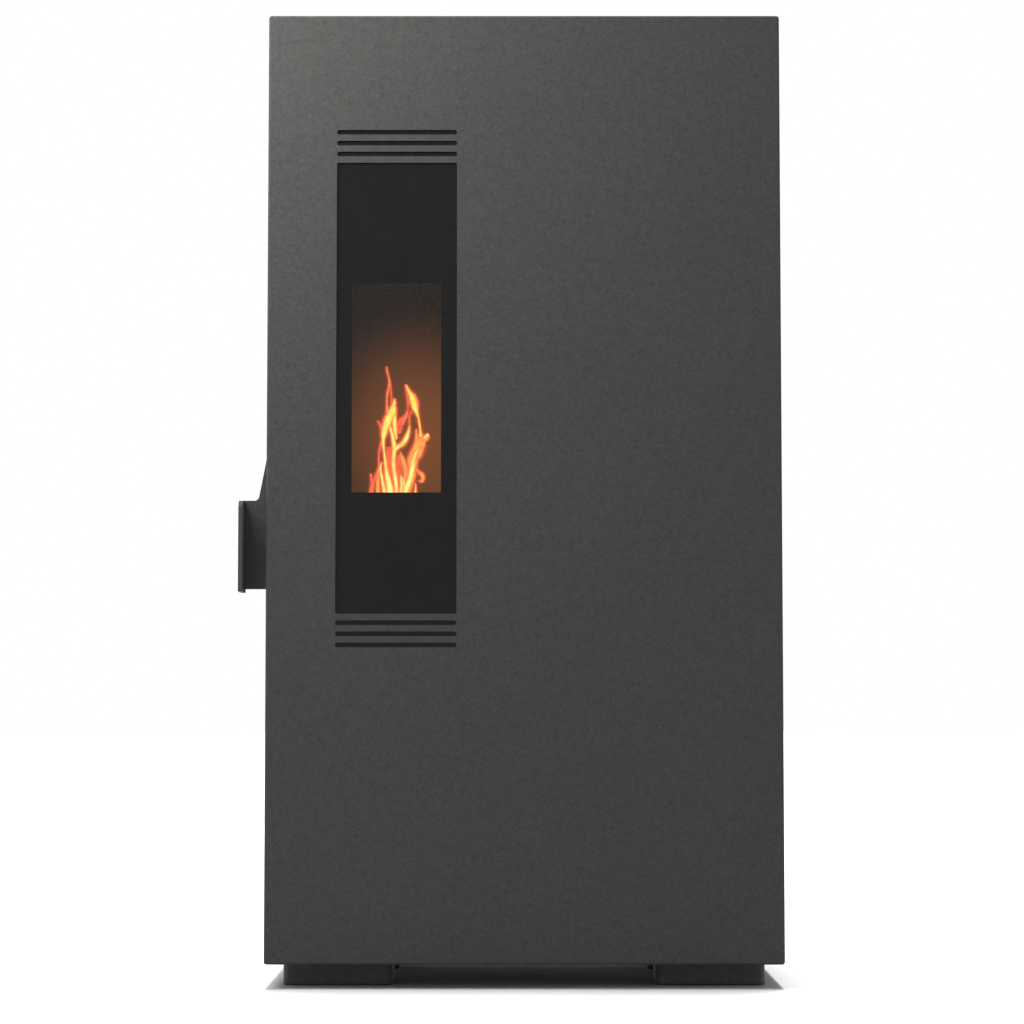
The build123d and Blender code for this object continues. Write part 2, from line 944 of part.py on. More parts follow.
def handle_lever():
    shoulder_x = grip_outer + shoulder_width
    inner_x = lever_x - barrel_radius / 2
    outline = [
        (inner_x, lever_bottom),
        (grip_outer, lever_bottom),
        (grip_outer, grip_top),
        (shoulder_x, grip_top),
        (shoulder_x + shoulder_slope, lever_top),
        (inner_x, lever_top),
    ]
    plate = plate_xz(outline, (lever_front, lever_back))
    elbow = plate.edges().filter_by(Axis.Y).sort_by_distance((shoulder_x, lever_front, grip_top))[0]
    plate = fillet(elbow, plate_elbow)
    lip_top = grip_top - lip_drop
    lip_xs = (grip_outer, grip_outer + lever_sheet)
    grip = block(lip_xs, (grip_front, lever_back), (grip_bottom, lip_top))
    for z, corner in ((lip_top, grip_corner), (grip_bottom, grip_low_corner)):
        end = grip.edges().filter_by(Axis.X).sort_by_distance((grip_outer, grip_front, z))[0]
        grip = fillet(end, corner)
    barrel = upright(lever_x, lever_pin_setback, (lever_bottom, lever_top), barrel_radius)
    hook_zs = (hook_bottom, hook_top)
    hook = block(about(lever_x, hook_arm / 2), (lever_pin_setback, claw_back), hook_zs)
    claw = block((lever_x, claw_tip), (claw_front, claw_back), hook_zs)
    lever = plate + grip + barrel + hook + claw
    middle = (grip_bottom + grip_top) / 2
    bend = lever.edges().filter_by(Axis.Z).sort_by_distance((grip_outer, lever_back, middle))[0]
    lever = fillet(bend, lever_bend)
    bore = hinge_pin_radius + running_gap
    return lever - upright(lever_x, lever_pin_setback, (lever_bottom, lever_top), bore)


def latch_catch():
    # Two ears on the frame, above and below the hook, with the roller that the claw pulls on
    low = (hook_bottom - catch_ear_gap - catch_ear, hook_bottom - catch_ear_gap)
    high = (hook_top + catch_ear_gap, hook_top + catch_ear_gap + catch_ear)
    catch = upright(catch_x, catch_y, (low[0], high[1]), catch_radius)
    for zs in (low, high):
        catch += block(about(catch_x, catch_ear_half), (frame_back, catch_y + catch_ear_reach), zs)
    return catch


def chute_outline(clearance):
    # Seen from the front: the upper end faces the auger tube square on, the lower end is over the pot
    reach = auger_tube_radius + chute_collar
    across = (reach * math.sin(auger_rise), reach * math.cos(auger_rise))
    start = (auger_high_x + across[0], auger_high_z + across[1])
    under = (auger_high_x - across[0], auger_high_z - across[1])
    low = (chute_exit_x, chute_exit_z)
    high = (chute_exit_x, chute_exit_z + chute_mouth)
    shoulder = (auger_high_x - chute_shoulder, start[1] + chute_shoulder_rise)
    face = make_face(Polyline(start, under, low, high, shoulder, close=True))
    if clearance:
        face = offset(face, clearance, kind=Kind.INTERSECTION)
    return face


def chute_solid(clearance):
    face = Plane.XZ * chute_outline(clearance)
    half = chute_width / 2 + clearance
    return Pos(0, auger_y - half, 0) * extrude(face, 2 * half, dir=(0, 1, 0))


def pellet_chute():
    chute = chute_solid(0) - chute_solid(-chute_sheet)
    mouth_xs = past((chute_exit_x, chute_exit_x + chute_sheet))
    mouth_zs = (chute_exit_z + chute_lip, chute_exit_z + chute_mouth - chute_top_lip)
    chute -= block(mouth_xs, about(auger_y, chute_width / 2 - chute_sheet), mouth_zs)
    bore = auger_tube_radius - auger_tube_wall
    return chute - auger_place * Pos(0, 0, auger_length) * Cylinder(bore, 4 * chute_sheet)


def firebox():
    shell_xs = grown((box_left, box_right), firebox_wall)
    shell_zs = grown((box_bottom, box_top), firebox_wall)
    shell = block(shell_xs, (mouth_face, box_shell_back), shell_zs)
    flange_xs = grown((box_left, box_right), mouth_flange)
    flange_zs = grown((box_bottom, box_top), mouth_flange)
    shell += block(flange_xs, (mouth_face, frame_front), flange_zs)
    shell -= block((box_left, box_right), (mouth_face - overrun, box_back), (box_bottom, box_top))
    hole_back = box_back - smoke_hole_setback
    half = smoke_duct_width / 2 - duct_sheet - smoke_hole_slack
    hole_ys = (hole_back - smoke_hole_depth, hole_back)
    shell -= block(about(window_x, half), hole_ys, past((duct_bottom, box_bottom)))
    through = past((box_back, box_shell_back))
    shell -= rod_y(intake_x, through, intake_z, intake_radius)
    shell -= rod_y(igniter_x, through, igniter_z, igniter_radius)
    return shell - chute_solid(chute_slack)


def fireback():
    xs = grown((box_left, box_right), -seat_gap)
    plate = block(xs, (fireback_front, fireback_back), (hearth_top, fireback_top))
    return chamfer(plate.faces().sort_by(Axis.Y)[0].edges().filter_by(Axis.X), fireback_edge)


def side_liners():
    zs = (hearth_top, fireback_top)
    ys = (hearth_front, fireback_front - seat_gap)
    left = block((box_left, box_left + liner_thickness), ys, zs)
    right = block((box_right - liner_thickness, box_right), ys, zs)
    return group([left, right - chute_solid(chute_slack)])


def smoke_baffle():
    xs = grown((box_left, box_right), -baffle_slack)
    zs = (fireback_top, fireback_top + liner_thickness)
    return block(xs, (fireback_back - baffle_depth, fireback_back), zs)


def burn_pot_holder():
    # The hearth plate, with the air box under it that feeds air into the pot
    hearth_zs = (hearth_bottom, hearth_top)
    hearth = block((box_left, box_right), (hearth_front, fireback_back + hearth_lap), hearth_zs)
    box_xs = about(window_x, pot_width / 2 + air_box_margin)
    box_ys = about(pot_y, pot_depth / 2 + air_box_margin)
    box_floor = hearth_bottom - air_box_height
    box = block(box_xs, box_ys, (box_floor, hearth_bottom))
    inner_zs = (box_floor + firebox_wall, hearth_bottom)
    box -= block(grown(box_xs, -firebox_wall), grown(box_ys, -firebox_wall), inner_zs)
    hearth += box
    well_xs = about(window_x, pot_width / 2 + pot_slack)
    well_ys = about(pot_y, pot_depth / 2 + pot_slack)
    hearth -= block(well_xs, well_ys, past(hearth_zs))
    rear_wall = past((box_ys[1] - firebox_wall, box_ys[1]))
    hearth -= rod_y(intake_x, rear_wall, intake_z, intake_radius - intake_wall)
    hearth -= rod_y(igniter_x, rear_wall, igniter_z, igniter_radius)
    slot_ys = (frame_back + ash_slot_setback, fireback_front - ash_slot_back_gap)
    for side in (-1, 1):
        outer = window_x + side * ((box_right - box_left) / 2 - liner_thickness - ash_slot_gap)
        hearth -= block(span(outer, outer - side * ash_slot), slot_ys, past(hearth_zs))
    return hearth


def hole_places(middle, length):
    count = int((length - 2 * pot_wall) / pot_hole_pitch)
    return [middle + (index - (count - 1) / 2) * pot_hole_pitch for index in range(count)]


def burn_pot():
    xs = about(window_x, pot_width / 2)
    ys = about(pot_y, pot_depth / 2)
    pot = block(xs, ys, (pot_bottom, pot_top))
    pot += block(grown(xs, pot_rim), grown(ys, pot_rim), (hearth_top, hearth_top + pot_wall))
    inner_zs = (pot_bottom + pot_wall, pot_top + overrun)
    pot -= block(grown(xs, -pot_wall), grown(ys, -pot_wall), inner_zs)
    for y in hole_places(pot_y, pot_depth):
        for x in hole_places(window_x, pot_width):
            pot -= upright(x, y, past((pot_bottom, pot_bottom + pot_wall)), pot_hole / 2)
        for wall in ((xs[0], xs[0] + pot_wall), (xs[1] - pot_wall, xs[1])):
            pot -= rod_x(past(wall), y, hearth_top - pot_hole_drop, pot_hole / 2)
    return pot


def ash_drawer():
    xs = grown((box_left, box_right), -drawer_side_gap)
    ys = (frame_back + drawer_front_gap, box_back - drawer_back_gap)
    top = box_bottom + drawer_height
    drawer = block(xs, ys, (box_bottom, top))
    inner_zs = (box_bottom + drawer_sheet, top + overrun)
    drawer -= block(grown(xs, -drawer_sheet), grown(ys, -drawer_sheet), inner_zs)
    pull_xs = about(window_x, drawer_pull_width / 2)
    pull_z = top - drawer_pull_drop
    pull_front = ys[0] - drawer_pull
    drawer += block(pull_xs, (pull_front, ys[0]), (pull_z, pull_z + drawer_sheet))
    lip_zs = (pull_z - drawer_pull_lip, pull_z + drawer_sheet)
    return drawer + block(pull_xs, (pull_front, pull_front + drawer_sheet), lip_zs)


def igniter():
    start = pot_y + pot_depth / 2 + igniter_gap
    mouth = start + igniter_mouth
    tube = rod_y(igniter_x, (start, box_shell_back + igniter_tail), igniter_z, igniter_radius)
    tube -= rod_y(igniter_x, (start - overrun, mouth), igniter_z, igniter_radius - igniter_wall)
    flange = (box_shell_back, box_shell_back + igniter_flange)
    tube += rod_y(igniter_x, flange, igniter_z, igniter_radius + igniter_rim)
    return tube + rod_y(igniter_x, (start + heater_setback, mouth), igniter_z, heater_radius)


def air_intake_pipe():
    ys = (pot_y + pot_depth / 2 + air_box_margin, rear_face + intake_reach)
    pipe = rod_y(intake_x, ys, intake_z, intake_radius)
    flange = (box_shell_back, box_shell_back + flue_flange)
    pipe += rod_y(intake_x, flange, intake_z, intake_radius + intake_rim)
    return pipe - rod_y(intake_x, past(ys), intake_z, intake_radius - intake_wall)


def smoke_duct():
    back = box_shell_back - smoke_duct_setback
    xs = about(window_x, smoke_duct_width / 2)
    ys = (back - smoke_duct_depth, back)
    zs = (scroll_top, duct_bottom)
    return block(xs, ys, zs) - block(grown(xs, -duct_sheet), grown(ys, -duct_sheet), zs)


def scroll(inset, zs, end_cut):
    body = upright(window_x, scroll_y, zs, scroll_radius - inset)
    return body + block(about(flue_x, outlet_width / 2 - inset), (scroll_y, outlet_end + end_cut), zs)


def smoke_fan_housing():
    zs = (scroll_bottom, scroll_top)
    housing = scroll(0, zs, 0)
    housing -= scroll(duct_sheet, grown(zs, -duct_sheet), overrun)
    roof = past((scroll_top - duct_sheet, scroll_top))
    housing -= upright(window_x, scroll_y, roof, smoke_inlet_radius)
    floor = past((scroll_bottom, scroll_bottom + duct_sheet))
    return housing - upright(window_x, scroll_y, floor, shaft_radius + shaft_room)


def smoke_fan_motor():
    low = scroll_bottom - motor_height
    motor = upright(window_x, scroll_y, (low, scroll_bottom), motor_radius - motor_waist)
    for zs in ((low, low + motor_cap), (scroll_bottom - motor_collar, scroll_bottom)):
        motor += upright(window_x, scroll_y, zs, motor_radius)
    bore = (low + motor_bore_end, scroll_bottom)
    return motor - upright(window_x, scroll_y, bore, shaft_radius + running_gap)


def smoke_fan_impeller():
    base = (scroll_top + scroll_bottom - impeller_height) / 2
    hub_top = base + hub_height
    wheel = upright(window_x, scroll_y, (base, base + blade_thickness), impeller_radius)
    wheel += upright(window_x, scroll_y, (base, hub_top), shaft_radius + hub_wall)
    shaft_low = scroll_bottom - motor_height + shaft_end
    wheel += upright(window_x, scroll_y, (shaft_low, hub_top), shaft_radius)
    blade_xs = (blade_root, impeller_radius - blade_tip_gap)
    blade = block(blade_xs, about(0, blade_thickness / 2), (base, base + impeller_height))
    blade = Pos(blade_root, 0, 0) * Rot(0, 0, blade_lean) * Pos(-blade_root, 0, 0) * blade
    for index in range(impeller_blades):
        wheel += Pos(window_x, scroll_y, 0) * Rot(0, 0, index * 360 / impeller_blades) * blade
    return wheel


def flue_spigot():
    ys = (outlet_end, rear_face + flue_reach)
    flange_ys = (outlet_end, outlet_end + flue_flange)
    spigot = block(about(flue_x, outlet_width / 2), flange_ys, (scroll_bottom, scroll_top))
    spigot += rod_y(flue_x, ys, flue_z, flue_radius)
    return spigot - rod_y(flue_x, past(ys), flue_z, flue_radius - flue_wall)


def heat_exchanger():
    xs = grown((box_left, box_right), -fin_inset)
    zs = (fin_bottom, box_top)
    base_back = box_shell_back + fin_base
    fins = block(xs, (box_shell_back, base_back), zs)
    pitch = (xs[1] - xs[0] - fin_thickness) / (fin_count - 1)
    for index in range(fin_count):
        left = xs[0] + index * pitch
        fins += block((left, left + fin_thickness), (box_shell_back, base_back + fin_depth), zs)
    return fins


def air_duct():
    xs = (box_left, box_right)
    zs = (blower_top, cover_top)
    duct = block(xs, (box_shell_back, air_back), zs)
    duct -= block(grown(xs, -air_sheet), (box_shell_back, air_back - air_sheet), past(zs))
    front_ys = (box_shell_back, box_shell_back + air_sheet)
    return duct + block(xs, front_ys, (box_top + firebox_wall, cover_top))


def blower_housing():
    xs = (box_left, box_right)
    back = rotor_y + blower_radius + blower_back
    housing = block(xs, (box_shell_back, back), (blower_bottom, blower_top))
    inner = grown(xs, -rotor_end)
    housing -= rod_x(inner, rotor_y, rotor_z, blower_radius)
    outlet_front = rotor_y - blower_radius + blower_outlet_gap
    outlet_back = air_back - air_sheet - blower_outlet_gap
    housing -= block(inner, (outlet_front, outlet_back), (rotor_z, blower_top + overrun))
    slot_zs = (rotor_z - blower_slot_low, rotor_z + blower_slot_high)
    housing -= block(inner, (rotor_y, back + overrun), slot_zs)
    return housing - rod_x(past(xs), rotor_y, rotor_z, shaft_radius + blower_shaft_room)


def blower_rotor():
    left, right = grown((box_left, box_right), -rotor_end - rotor_end_gap)
    shaft_xs = (box_left - overrun, box_right + blower_motor_length - blower_shaft_end)
    rotor = rod_x(shaft_xs, rotor_y, rotor_z, shaft_radius)
    for x in (left, (left + right - rotor_end) / 2, right - rotor_end):
        rotor += rod_x((x, x + rotor_end), rotor_y, rotor_z, rotor_radius)
    blade_outer = rotor_radius - rotor_blade_inset
    blade = block((left, right), (blade_outer - rotor_blade_depth, blade_outer), about(0, rotor_blade / 2))
    for index in range(rotor_blades):
        rotor += Pos(0, rotor_y, rotor_z) * Rot(index * 360 / rotor_blades, 0, 0) * blade
    return rotor


def blower_motor():
    xs = (box_right, box_right + blower_motor_length)
    motor = rod_x(xs, rotor_y, rotor_z, blower_motor_radius)
    bore = (xs[0] - overrun, xs[1] - blower_motor_end)
    return motor - rod_x(bore, rotor_y, rotor_z, shaft_radius + running_gap)


def throat(inset):
    half = throat_width / 2 - inset
    return block(about(throat_x, half), about(auger_y, half), (throat_z, funnel_bottom))


def hopper():
    # Flat sheets welded at their edges: a lip, the bin, a funnel and a throat that sits on the auger tube
    bin_plan = ((hopper_left, hopper_right), (hopper_front, hopper_back))
    lip_plan = (grown(bin_plan[0], hopper_lip), grown(bin_plan[1], hopper_lip))
    throat_plan = (about(throat_x, throat_width / 2), about(auger_y, throat_width / 2))
    lip_zs = (cover_top - hopper_sheet, cover_top)
    sheets = mitred_walls(lip_plan, lip_plan, lip_zs, hopper_lip + hopper_sheet)
    sheets += mitred_walls(bin_plan, bin_plan, (hopper_wall_bottom, lip_zs[0]), hopper_sheet)
    sheets += mitred_walls(throat_plan, bin_plan, (funnel_bottom, hopper_wall_bottom), hopper_sheet)
    under = Box(4 * auger_tube_radius, 3 * auger_tube_radius, auger_length)
    saddle = Pos(-2 * auger_tube_radius, 0, 0) * under + Cylinder(auger_tube_radius, auger_length)
    saddle = auger_place * Pos(0, 0, auger_length / 2) * saddle
    for wall in mitred_walls(throat_plan, throat_plan, (throat_z, funnel_bottom), hopper_sheet):
        sheets.append(wall - saddle)
    return group(sheets)


def hopper_grille():
    # Two rods across the hopper, with the long rods laid on them and spot welded
    z = cover_top - grille_drop
    xs = grown((hopper_left, hopper_right), -hopper_sheet)
    ys = grown((hopper_front, hopper_back), -hopper_sheet)
    rods = [rod_x(xs, y, z, grille_bar) for y in grown(ys, -grille_rod_inset)]
    step = (xs[1] - xs[0]) / grille_count
    for index in range(grille_count):
        rods.append(rod_y(xs[0] + (index + 0.5) * step, ys, z + 2 * grille_bar, grille_bar))
    return group(rods)


def lid_hinge_places():
    return grown((hatch_left, hatch_right), -lid_hinge_inset)


def hopper_lid():
    xs = grown((hatch_left, hatch_right), lid_overlap)
    ys = grown((hatch_front, hatch_back), lid_overlap)
    low = panel_top + lid_skirt_gap
    skin_zs = (lid_top - lid_sheet, lid_top)
    lid = block(xs, ys, (low, lid_top))
    lid = fillet(lid.faces().sort_by(Axis.Z)[-1].edges(), lid_edge)
    lid -= block(grown(xs, -lid_sheet), grown(ys, -lid_sheet), (low - overrun, skin_zs[0]))
    grip_xs = about((xs[0] + xs[1]) / 2, lid_grip_width / 2)
    grip = block(grip_xs, (ys[0] - lid_grip_depth, ys[0] + lid_sheet), skin_zs)
    lid += fillet(grip.edges().filter_by(Axis.Z).sort_by(Axis.Y)[:2], lid_grip_corner)
    half = lid_knuckle_width / 2
    for x in lid_hinge_places():
        lid += rod_x(about(x, half), lid_axis_y, lid_axis_z, lid_knuckle)
        lid += block(about(x, half), (ys[1] - lid_strap_lap, lid_axis_y), skin_zs)
    for x in lid_hinge_places():
        lid -= rod_x(past(about(x, half)), lid_axis_y, lid_axis_z, lid_hinge_radius + running_gap)
    return lid


def lid_gasket():
    margin = lid_overlap - lid_sheet - lid_gasket_gap
    xs = grown((hatch_left, hatch_right), margin)
    ys = grown((hatch_front, hatch_back), margin)
    zs = (panel_top + seat_gap, lid_top - lid_sheet)
    width = lid_gasket_width
    return block(xs, ys, zs) - block(grown(xs, -width), grown(ys, -width), zs)


def lid_hinge_brackets():
    forks = []
    foot_front = lid_axis_y + lid_knuckle + lid_fork_gap
    foot_back = foot_front + lid_fork_foot
    foot_zs = (panel_top, panel_top + lid_fork_sheet)
    inner_half = lid_knuckle_width / 2 + seat_gap
    outer_half = inner_half + lid_fork_width
    for x in lid_hinge_places():
        fork = block(about(x, outer_half), (foot_front, foot_back), foot_zs)
        for side in (-1, 1):
            xs = span(x + side * inner_half, x + side * outer_half)
            fork += block(xs, (lid_axis_y - lid_fork_half, foot_back), foot_zs)
            fork += block(xs, about(lid_axis_y, lid_fork_half), (panel_top, lid_axis_z))
            fork += rod_x(xs, lid_axis_y, lid_axis_z, lid_fork_half)
        bore = past(about(x, outer_half))
        forks.append(fork - rod_x(bore, lid_axis_y, lid_axis_z, lid_hinge_radius))
    return group(forks)


def auger_tube():
    bore = auger_tube_radius - auger_tube_wall
    tube = Pos(0, 0, auger_length / 2) * Cylinder(auger_tube_radius, auger_length)
    tube -= Pos(0, 0, auger_length / 2 + auger_tube_wall) * Cylinder(bore, auger_length)
    tube -= Cylinder(bush_radius, 4 * auger_tube_wall)
    return auger_place * tube - throat(hopper_sheet)


def auger_bush():
    bush = Pos(0, 0, bush_length / 2) * Cylinder(bush_radius, bush_length)
    bush += Pos(0, 0, auger_tube_wall + bush_flange / 2) * Cylinder(bush_radius + bush_rim, bush_flange)
    return auger_place * (bush - Cylinder(auger_shaft + running_gap, 4 * bush_length))


def auger_screw():
    start = -gearmotor_length / 2
    end = auger_length - auger_end_gap
    shaft = Pos(0, 0, (start + end) / 2) * Cylinder(auger_shaft, end - start)
    flight_start = bush_length + auger_end_gap
    flight_length = end - flight_start - flight_end_gap
    flight_inner = auger_shaft - flight_root
    path = Pos(0, 0, flight_start) * Helix(auger_pitch, flight_length, (auger_radius + flight_inner) / 2)
    section = Plane(origin=path @ 0, x_dir=(1, 0, 0), z_dir=path % 0)
    ribbon = section * Rectangle(auger_radius - flight_inner, auger_flight)
    return auger_place * (shaft + sweep(ribbon, path=path, is_frenet=True))


def auger_gearmotor():
    half = gearmotor_length / 2
    gearbox = Pos(0, 0, -half / 2) * Box(gearmotor_width, gearmotor_width, half)
    gearbox = fillet(gearbox.edges().filter_by(Axis.Z), gearbox_corner)
    motor = Pos(0, 0, -1.5 * half) * Cylinder(gearmotor_width / 2 - gearmotor_waist, half)
    bore = Cylinder(auger_shaft + running_gap, gearmotor_length + 2 * bush_length)
    return auger_place * (gearbox + motor - bore)


def tub_outline(zs, margin):
    xs = (control_left + tub_inset, control_left + control_width - tub_inset)
    ys = (control_y + tub_inset, control_y + control_depth - tub_inset)
    return block(grown(xs, margin), grown(ys, margin), zs)


def button_places():
    return [first_button_x + index * button_pitch for index in range(button_count)]


def control_panel():
    xs = (control_left, control_left + control_width)
    panel = block(xs, (control_y, control_y + control_depth), (panel_top, bezel_top))
    panel = fillet(panel.edges().filter_by(Axis.Z), control_corner)
    panel = fillet(panel.faces().sort_by(Axis.Z)[-1].edges(), bezel_edge)
    tub_bottom = panel_top - tub_depth
    tub = tub_outline((tub_bottom, panel_top), 0)
    tub -= tub_outline((tub_bottom - overrun, pad_top - pad_thickness), -tub_wall)
    tub -= tub_outline((pad_top, panel_top), -tub_wall)
    panel += tub
    for x in button_places():
        panel -= upright(x, button_y, (pad_top, bezel_top + overrun), button_radius + seat_gap)
    return panel - display_block(bezel_top + overrun)


def display_block(top):
    xs = (display_left, display_left + display_width)
    return block(xs, about(button_y, display_depth / 2), (bezel_top - display_glass, top))


def button(x):
    foot = pad_top + button_travel + seat_gap
    cap = upright(x, button_y, (foot, bezel_top + button_rise), button_radius)
    cap = fillet(cap.faces().sort_by(Axis.Z)[-1].edges(), button_edge)
    return cap + upright(x, button_y, (foot, panel_top - seat_gap), button_radius + button_rim)


def control_board():
    right = side_inner - board_standoff
    face = right - board_sheet
    ys = (frame_back + board_setback, frame_back + board_setback + board_width)
    low = tray_floor + tray_flange + board_rise
    zs = (low, low + board_height)
    board = block((face, right), ys, zs)
    for y in grown(ys, -standoff_inset):
        for z in grown(zs, -standoff_inset):
            board += rod_x((right, side_inner), y, z, standoff_radius)

    def component(depth, y, width, z, height):
        return block((face - depth, face), (ys[0] + y, ys[0] + y + width), (z, z + height))

    inset = transformer_inset
    board += component(transformer_depth, inset, transformer_width, low + inset, transformer_height)
    board += component(chip_depth, chip_inset, chip_side, low + chip_rise, chip_side)
    terminal_z = zs[1] - terminal_drop
    for index in range(4):
        y = relay_start + index * relay_pitch
        board += component(relay_depth, y, relay_width, low + relay_rise, relay_height)
        board += component(terminal_depth, y, terminal_width, terminal_z, terminal_height)
    for index in range(3):
        y = ys[0] + capacitor_start + index * capacitor_pitch
        board += rod_x((face - capacitor_length, face), y, low + capacitor_rise, capacitor_radius)
    return board


def pressure_switch():
    x = half_width - switch_inset
    y = frame_back + switch_setback
    z = tray_floor
    switch = rod_x((x, x + switch_radius + nipple_reach), y, tray_floor + nipple_rise, nipple_radius)
    heights = (switch_neck_height, switch_height, switch_cap_height)
    for height, radius in zip(heights, (switch_neck, switch_radius, switch_cap)):
        switch += upright(x, y, (z, z + height), radius)
        z += height
    return switch


def power_inlet():
    xs = about(inlet_x, inlet_width / 2)
    zs = (inlet_bottom, inlet_bottom + inlet_height)
    rim_face = rear_face + inlet_rim_height
    inlet = block(xs, (rear_inner - inlet_depth, rear_face), zs)
    rim = block(grown(xs, inlet_rim), (rear_face, rim_face), grown(zs, inlet_rim))
    inlet += fillet(rim.edges().filter_by(Axis.Y), inlet_rim)
    socket_floor = rear_inner - socket_depth
    socket_z = inlet_bottom + socket_rise
    socket_xs = about(inlet_x, socket_width / 2)
    inlet -= block(socket_xs, (socket_floor, rim_face + overrun), (socket_z, socket_z + socket_height))
    pin_zs = (inlet_bottom + pin_rise, inlet_bottom + pin_rise + pin_height)
    for x in (inlet_x - pin_pitch, inlet_x, inlet_x + pin_pitch):
        inlet += block(about(x, pin_half), (socket_floor - overrun, rear_face - pin_recess), pin_zs)
    well_ys = (rear_face - rocker_well_depth, rim_face + overrun)
    well_xs = about(inlet_x, rocker_well_width / 2)
    inlet -= block(well_xs, well_ys, about(rocker_z, rocker_well_height / 2))
    pivot_xs = grown(well_xs, rocker_pin_length + rocker_pin_room)
    return inlet - rod_x(pivot_xs, rocker_y, rocker_z, rocker_pin_radius + running_gap)


def power_rocker():
    xs = about(inlet_x, rocker_width / 2)
    cap = block(xs, about(rocker_y, rocker_half), about(rocker_z, rocker_height / 2))
    cap -= rod_x(past(xs), rocker_y + rocker_dish + rocker_half / 2, rocker_z, rocker_dish)
    pin_xs = about(inlet_x, rocker_well_width / 2 + rocker_pin_length)
    cap += rod_x(pin_xs, rocker_y, rocker_z, rocker_pin_radius)
    there = Pos(inlet_x, rocker_y, rocker_z)
    back = Pos(-inlet_x, -rocker_y, -rocker_z)
    return there * Rot(-rocker_tilt, 0, 0) * back * cap


def thermostat_cap():
    x = inlet_x - cap_offset
    z = inlet_bottom + cap_rise
    ys = (rear_face, rear_face + cap_height)
    cap = rod_y(x, ys, z, cap_radius)
    notch = rod_y(cap_radius + cap_notch_out, past(ys), 0, cap_notch)
    for index in range(cap_notches):
        cap -= Pos(x, 0, z) * Rot(0, index * 360 / cap_notches, 0) * notch
    return cap


pieces = {
    "feet": feet(),
    "base_tray": base_tray(),
    "front_frame": front_frame(),
    "left_side_panel": side_panel(-1),
    "right_side_panel": side_panel(1),
    "rear_panel": rear_panel(),
    "cover_screws": cover_screws(),
    "top_plate": top_plate(),
    "hinge_brackets": hinge_brackets(),
    "hinge_pins": hinge_pins(),
    "latch_catch": latch_catch(),
    "door_skin": door_skin(),
    "door_glass": door_glass(),
    "glass_gasket": glass_gasket(),
    "glass_retainer": glass_retainer(),
    "seal_channel": seal_channel(),
    "door_rope_gasket": door_rope_gasket(),
    "hinge_lugs": hinge_lugs(),
    "handle_bracket": handle_bracket(),
    "handle_lever": handle_lever(),
    "firebox": firebox(),
    "fireback": fireback(),
    "side_liners": side_liners(),
    "smoke_baffle": smoke_baffle(),
    "burn_pot_holder": burn_pot_holder(),
    "burn_pot": burn_pot(),
    "ash_drawer": ash_drawer(),
    "igniter": igniter(),
    "air_intake_pipe": air_intake_pipe(),
    "smoke_duct": smoke_duct(),
    "smoke_fan_housing": smoke_fan_housing(),
    "smoke_fan_motor": smoke_fan_motor(),
    "smoke_fan_impeller": smoke_fan_impeller(),
    "flue_spigot": flue_spigot(),
    "heat_exchanger": heat_exchanger(),
    "air_duct": air_duct(),
    "blower_housing": blower_housing(),
    "blower_rotor": blower_rotor(),
    "blower_motor": blower_motor(),
    "hopper": hopper(),
    "hopper_grille": hopper_grille(),
    "hopper_lid": hopper_lid(),
    "lid_gasket": lid_gasket(),
    "lid_hinge_brackets": lid_hinge_brackets(),
    "auger_tube": auger_tube(),
    "auger_bush": auger_bush(),
    "auger_screw": auger_screw(),
    "auger_gearmotor": auger_gearmotor(),
    "pellet_chute": pellet_chute(),
    "control_panel": control_panel(),
    "display_window": display_block(bezel_top),
    "control_board": control_board(),
    "pressure_switch": pressure_switch(),
    "power_inlet": power_inlet(),
    "power_rocker": power_rocker(),
    "thermostat_cap": thermostat_cap(),
}
for name, x in zip(("power", "menu", "down", "up"), button_places()):
    pieces["button_" + name] = button(x)

os.makedirs("parts", exist_ok=True)
for name, piece in pieces.items():
    solids = [row_place * solid for solid in piece.solids()]
    export_step(solids[0] if len(solids) == 1 else Compound(solids), "parts/" + name + ".step")
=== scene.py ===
import bpy
import bmesh
import json
import math
import random
from mathutils import Matrix, Vector


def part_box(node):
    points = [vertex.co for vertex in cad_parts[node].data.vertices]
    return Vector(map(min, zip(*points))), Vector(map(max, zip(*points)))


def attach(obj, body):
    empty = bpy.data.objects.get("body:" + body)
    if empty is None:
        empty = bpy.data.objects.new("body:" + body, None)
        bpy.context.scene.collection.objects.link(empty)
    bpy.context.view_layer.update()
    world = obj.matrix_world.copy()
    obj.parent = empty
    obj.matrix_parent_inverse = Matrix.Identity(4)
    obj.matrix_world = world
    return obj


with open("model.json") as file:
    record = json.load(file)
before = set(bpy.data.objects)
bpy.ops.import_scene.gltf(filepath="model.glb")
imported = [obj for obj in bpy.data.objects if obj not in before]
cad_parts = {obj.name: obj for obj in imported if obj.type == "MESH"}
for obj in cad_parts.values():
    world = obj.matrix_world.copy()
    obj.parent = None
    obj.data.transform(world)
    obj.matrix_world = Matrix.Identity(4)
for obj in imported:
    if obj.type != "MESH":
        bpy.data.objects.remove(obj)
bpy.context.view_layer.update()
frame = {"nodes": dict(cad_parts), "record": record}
nodes = frame["nodes"]

doorLow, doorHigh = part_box("door_skin")
stoveMiddle = (doorLow.x + doorHigh.x) / 2
doorFace = doorLow.y
potLow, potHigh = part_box("burn_pot")
potMiddle = (potLow + potHigh) / 2


# Node trees

def fillInputs(tree, node, inputs):
    # An input takes a plain value or another node's output
    for name, value in inputs.items():
        if isinstance(value, bpy.types.NodeSocket):
            tree.links.new(value, node.inputs[name])
        else:
            node.inputs[name].default_value = value


def addNode(tree, kind, inputs=None, **settings):
    node = tree.nodes.new(kind)
    for name, value in settings.items():
        setattr(node, name, value)
    fillInputs(tree, node, inputs or {})
    return node


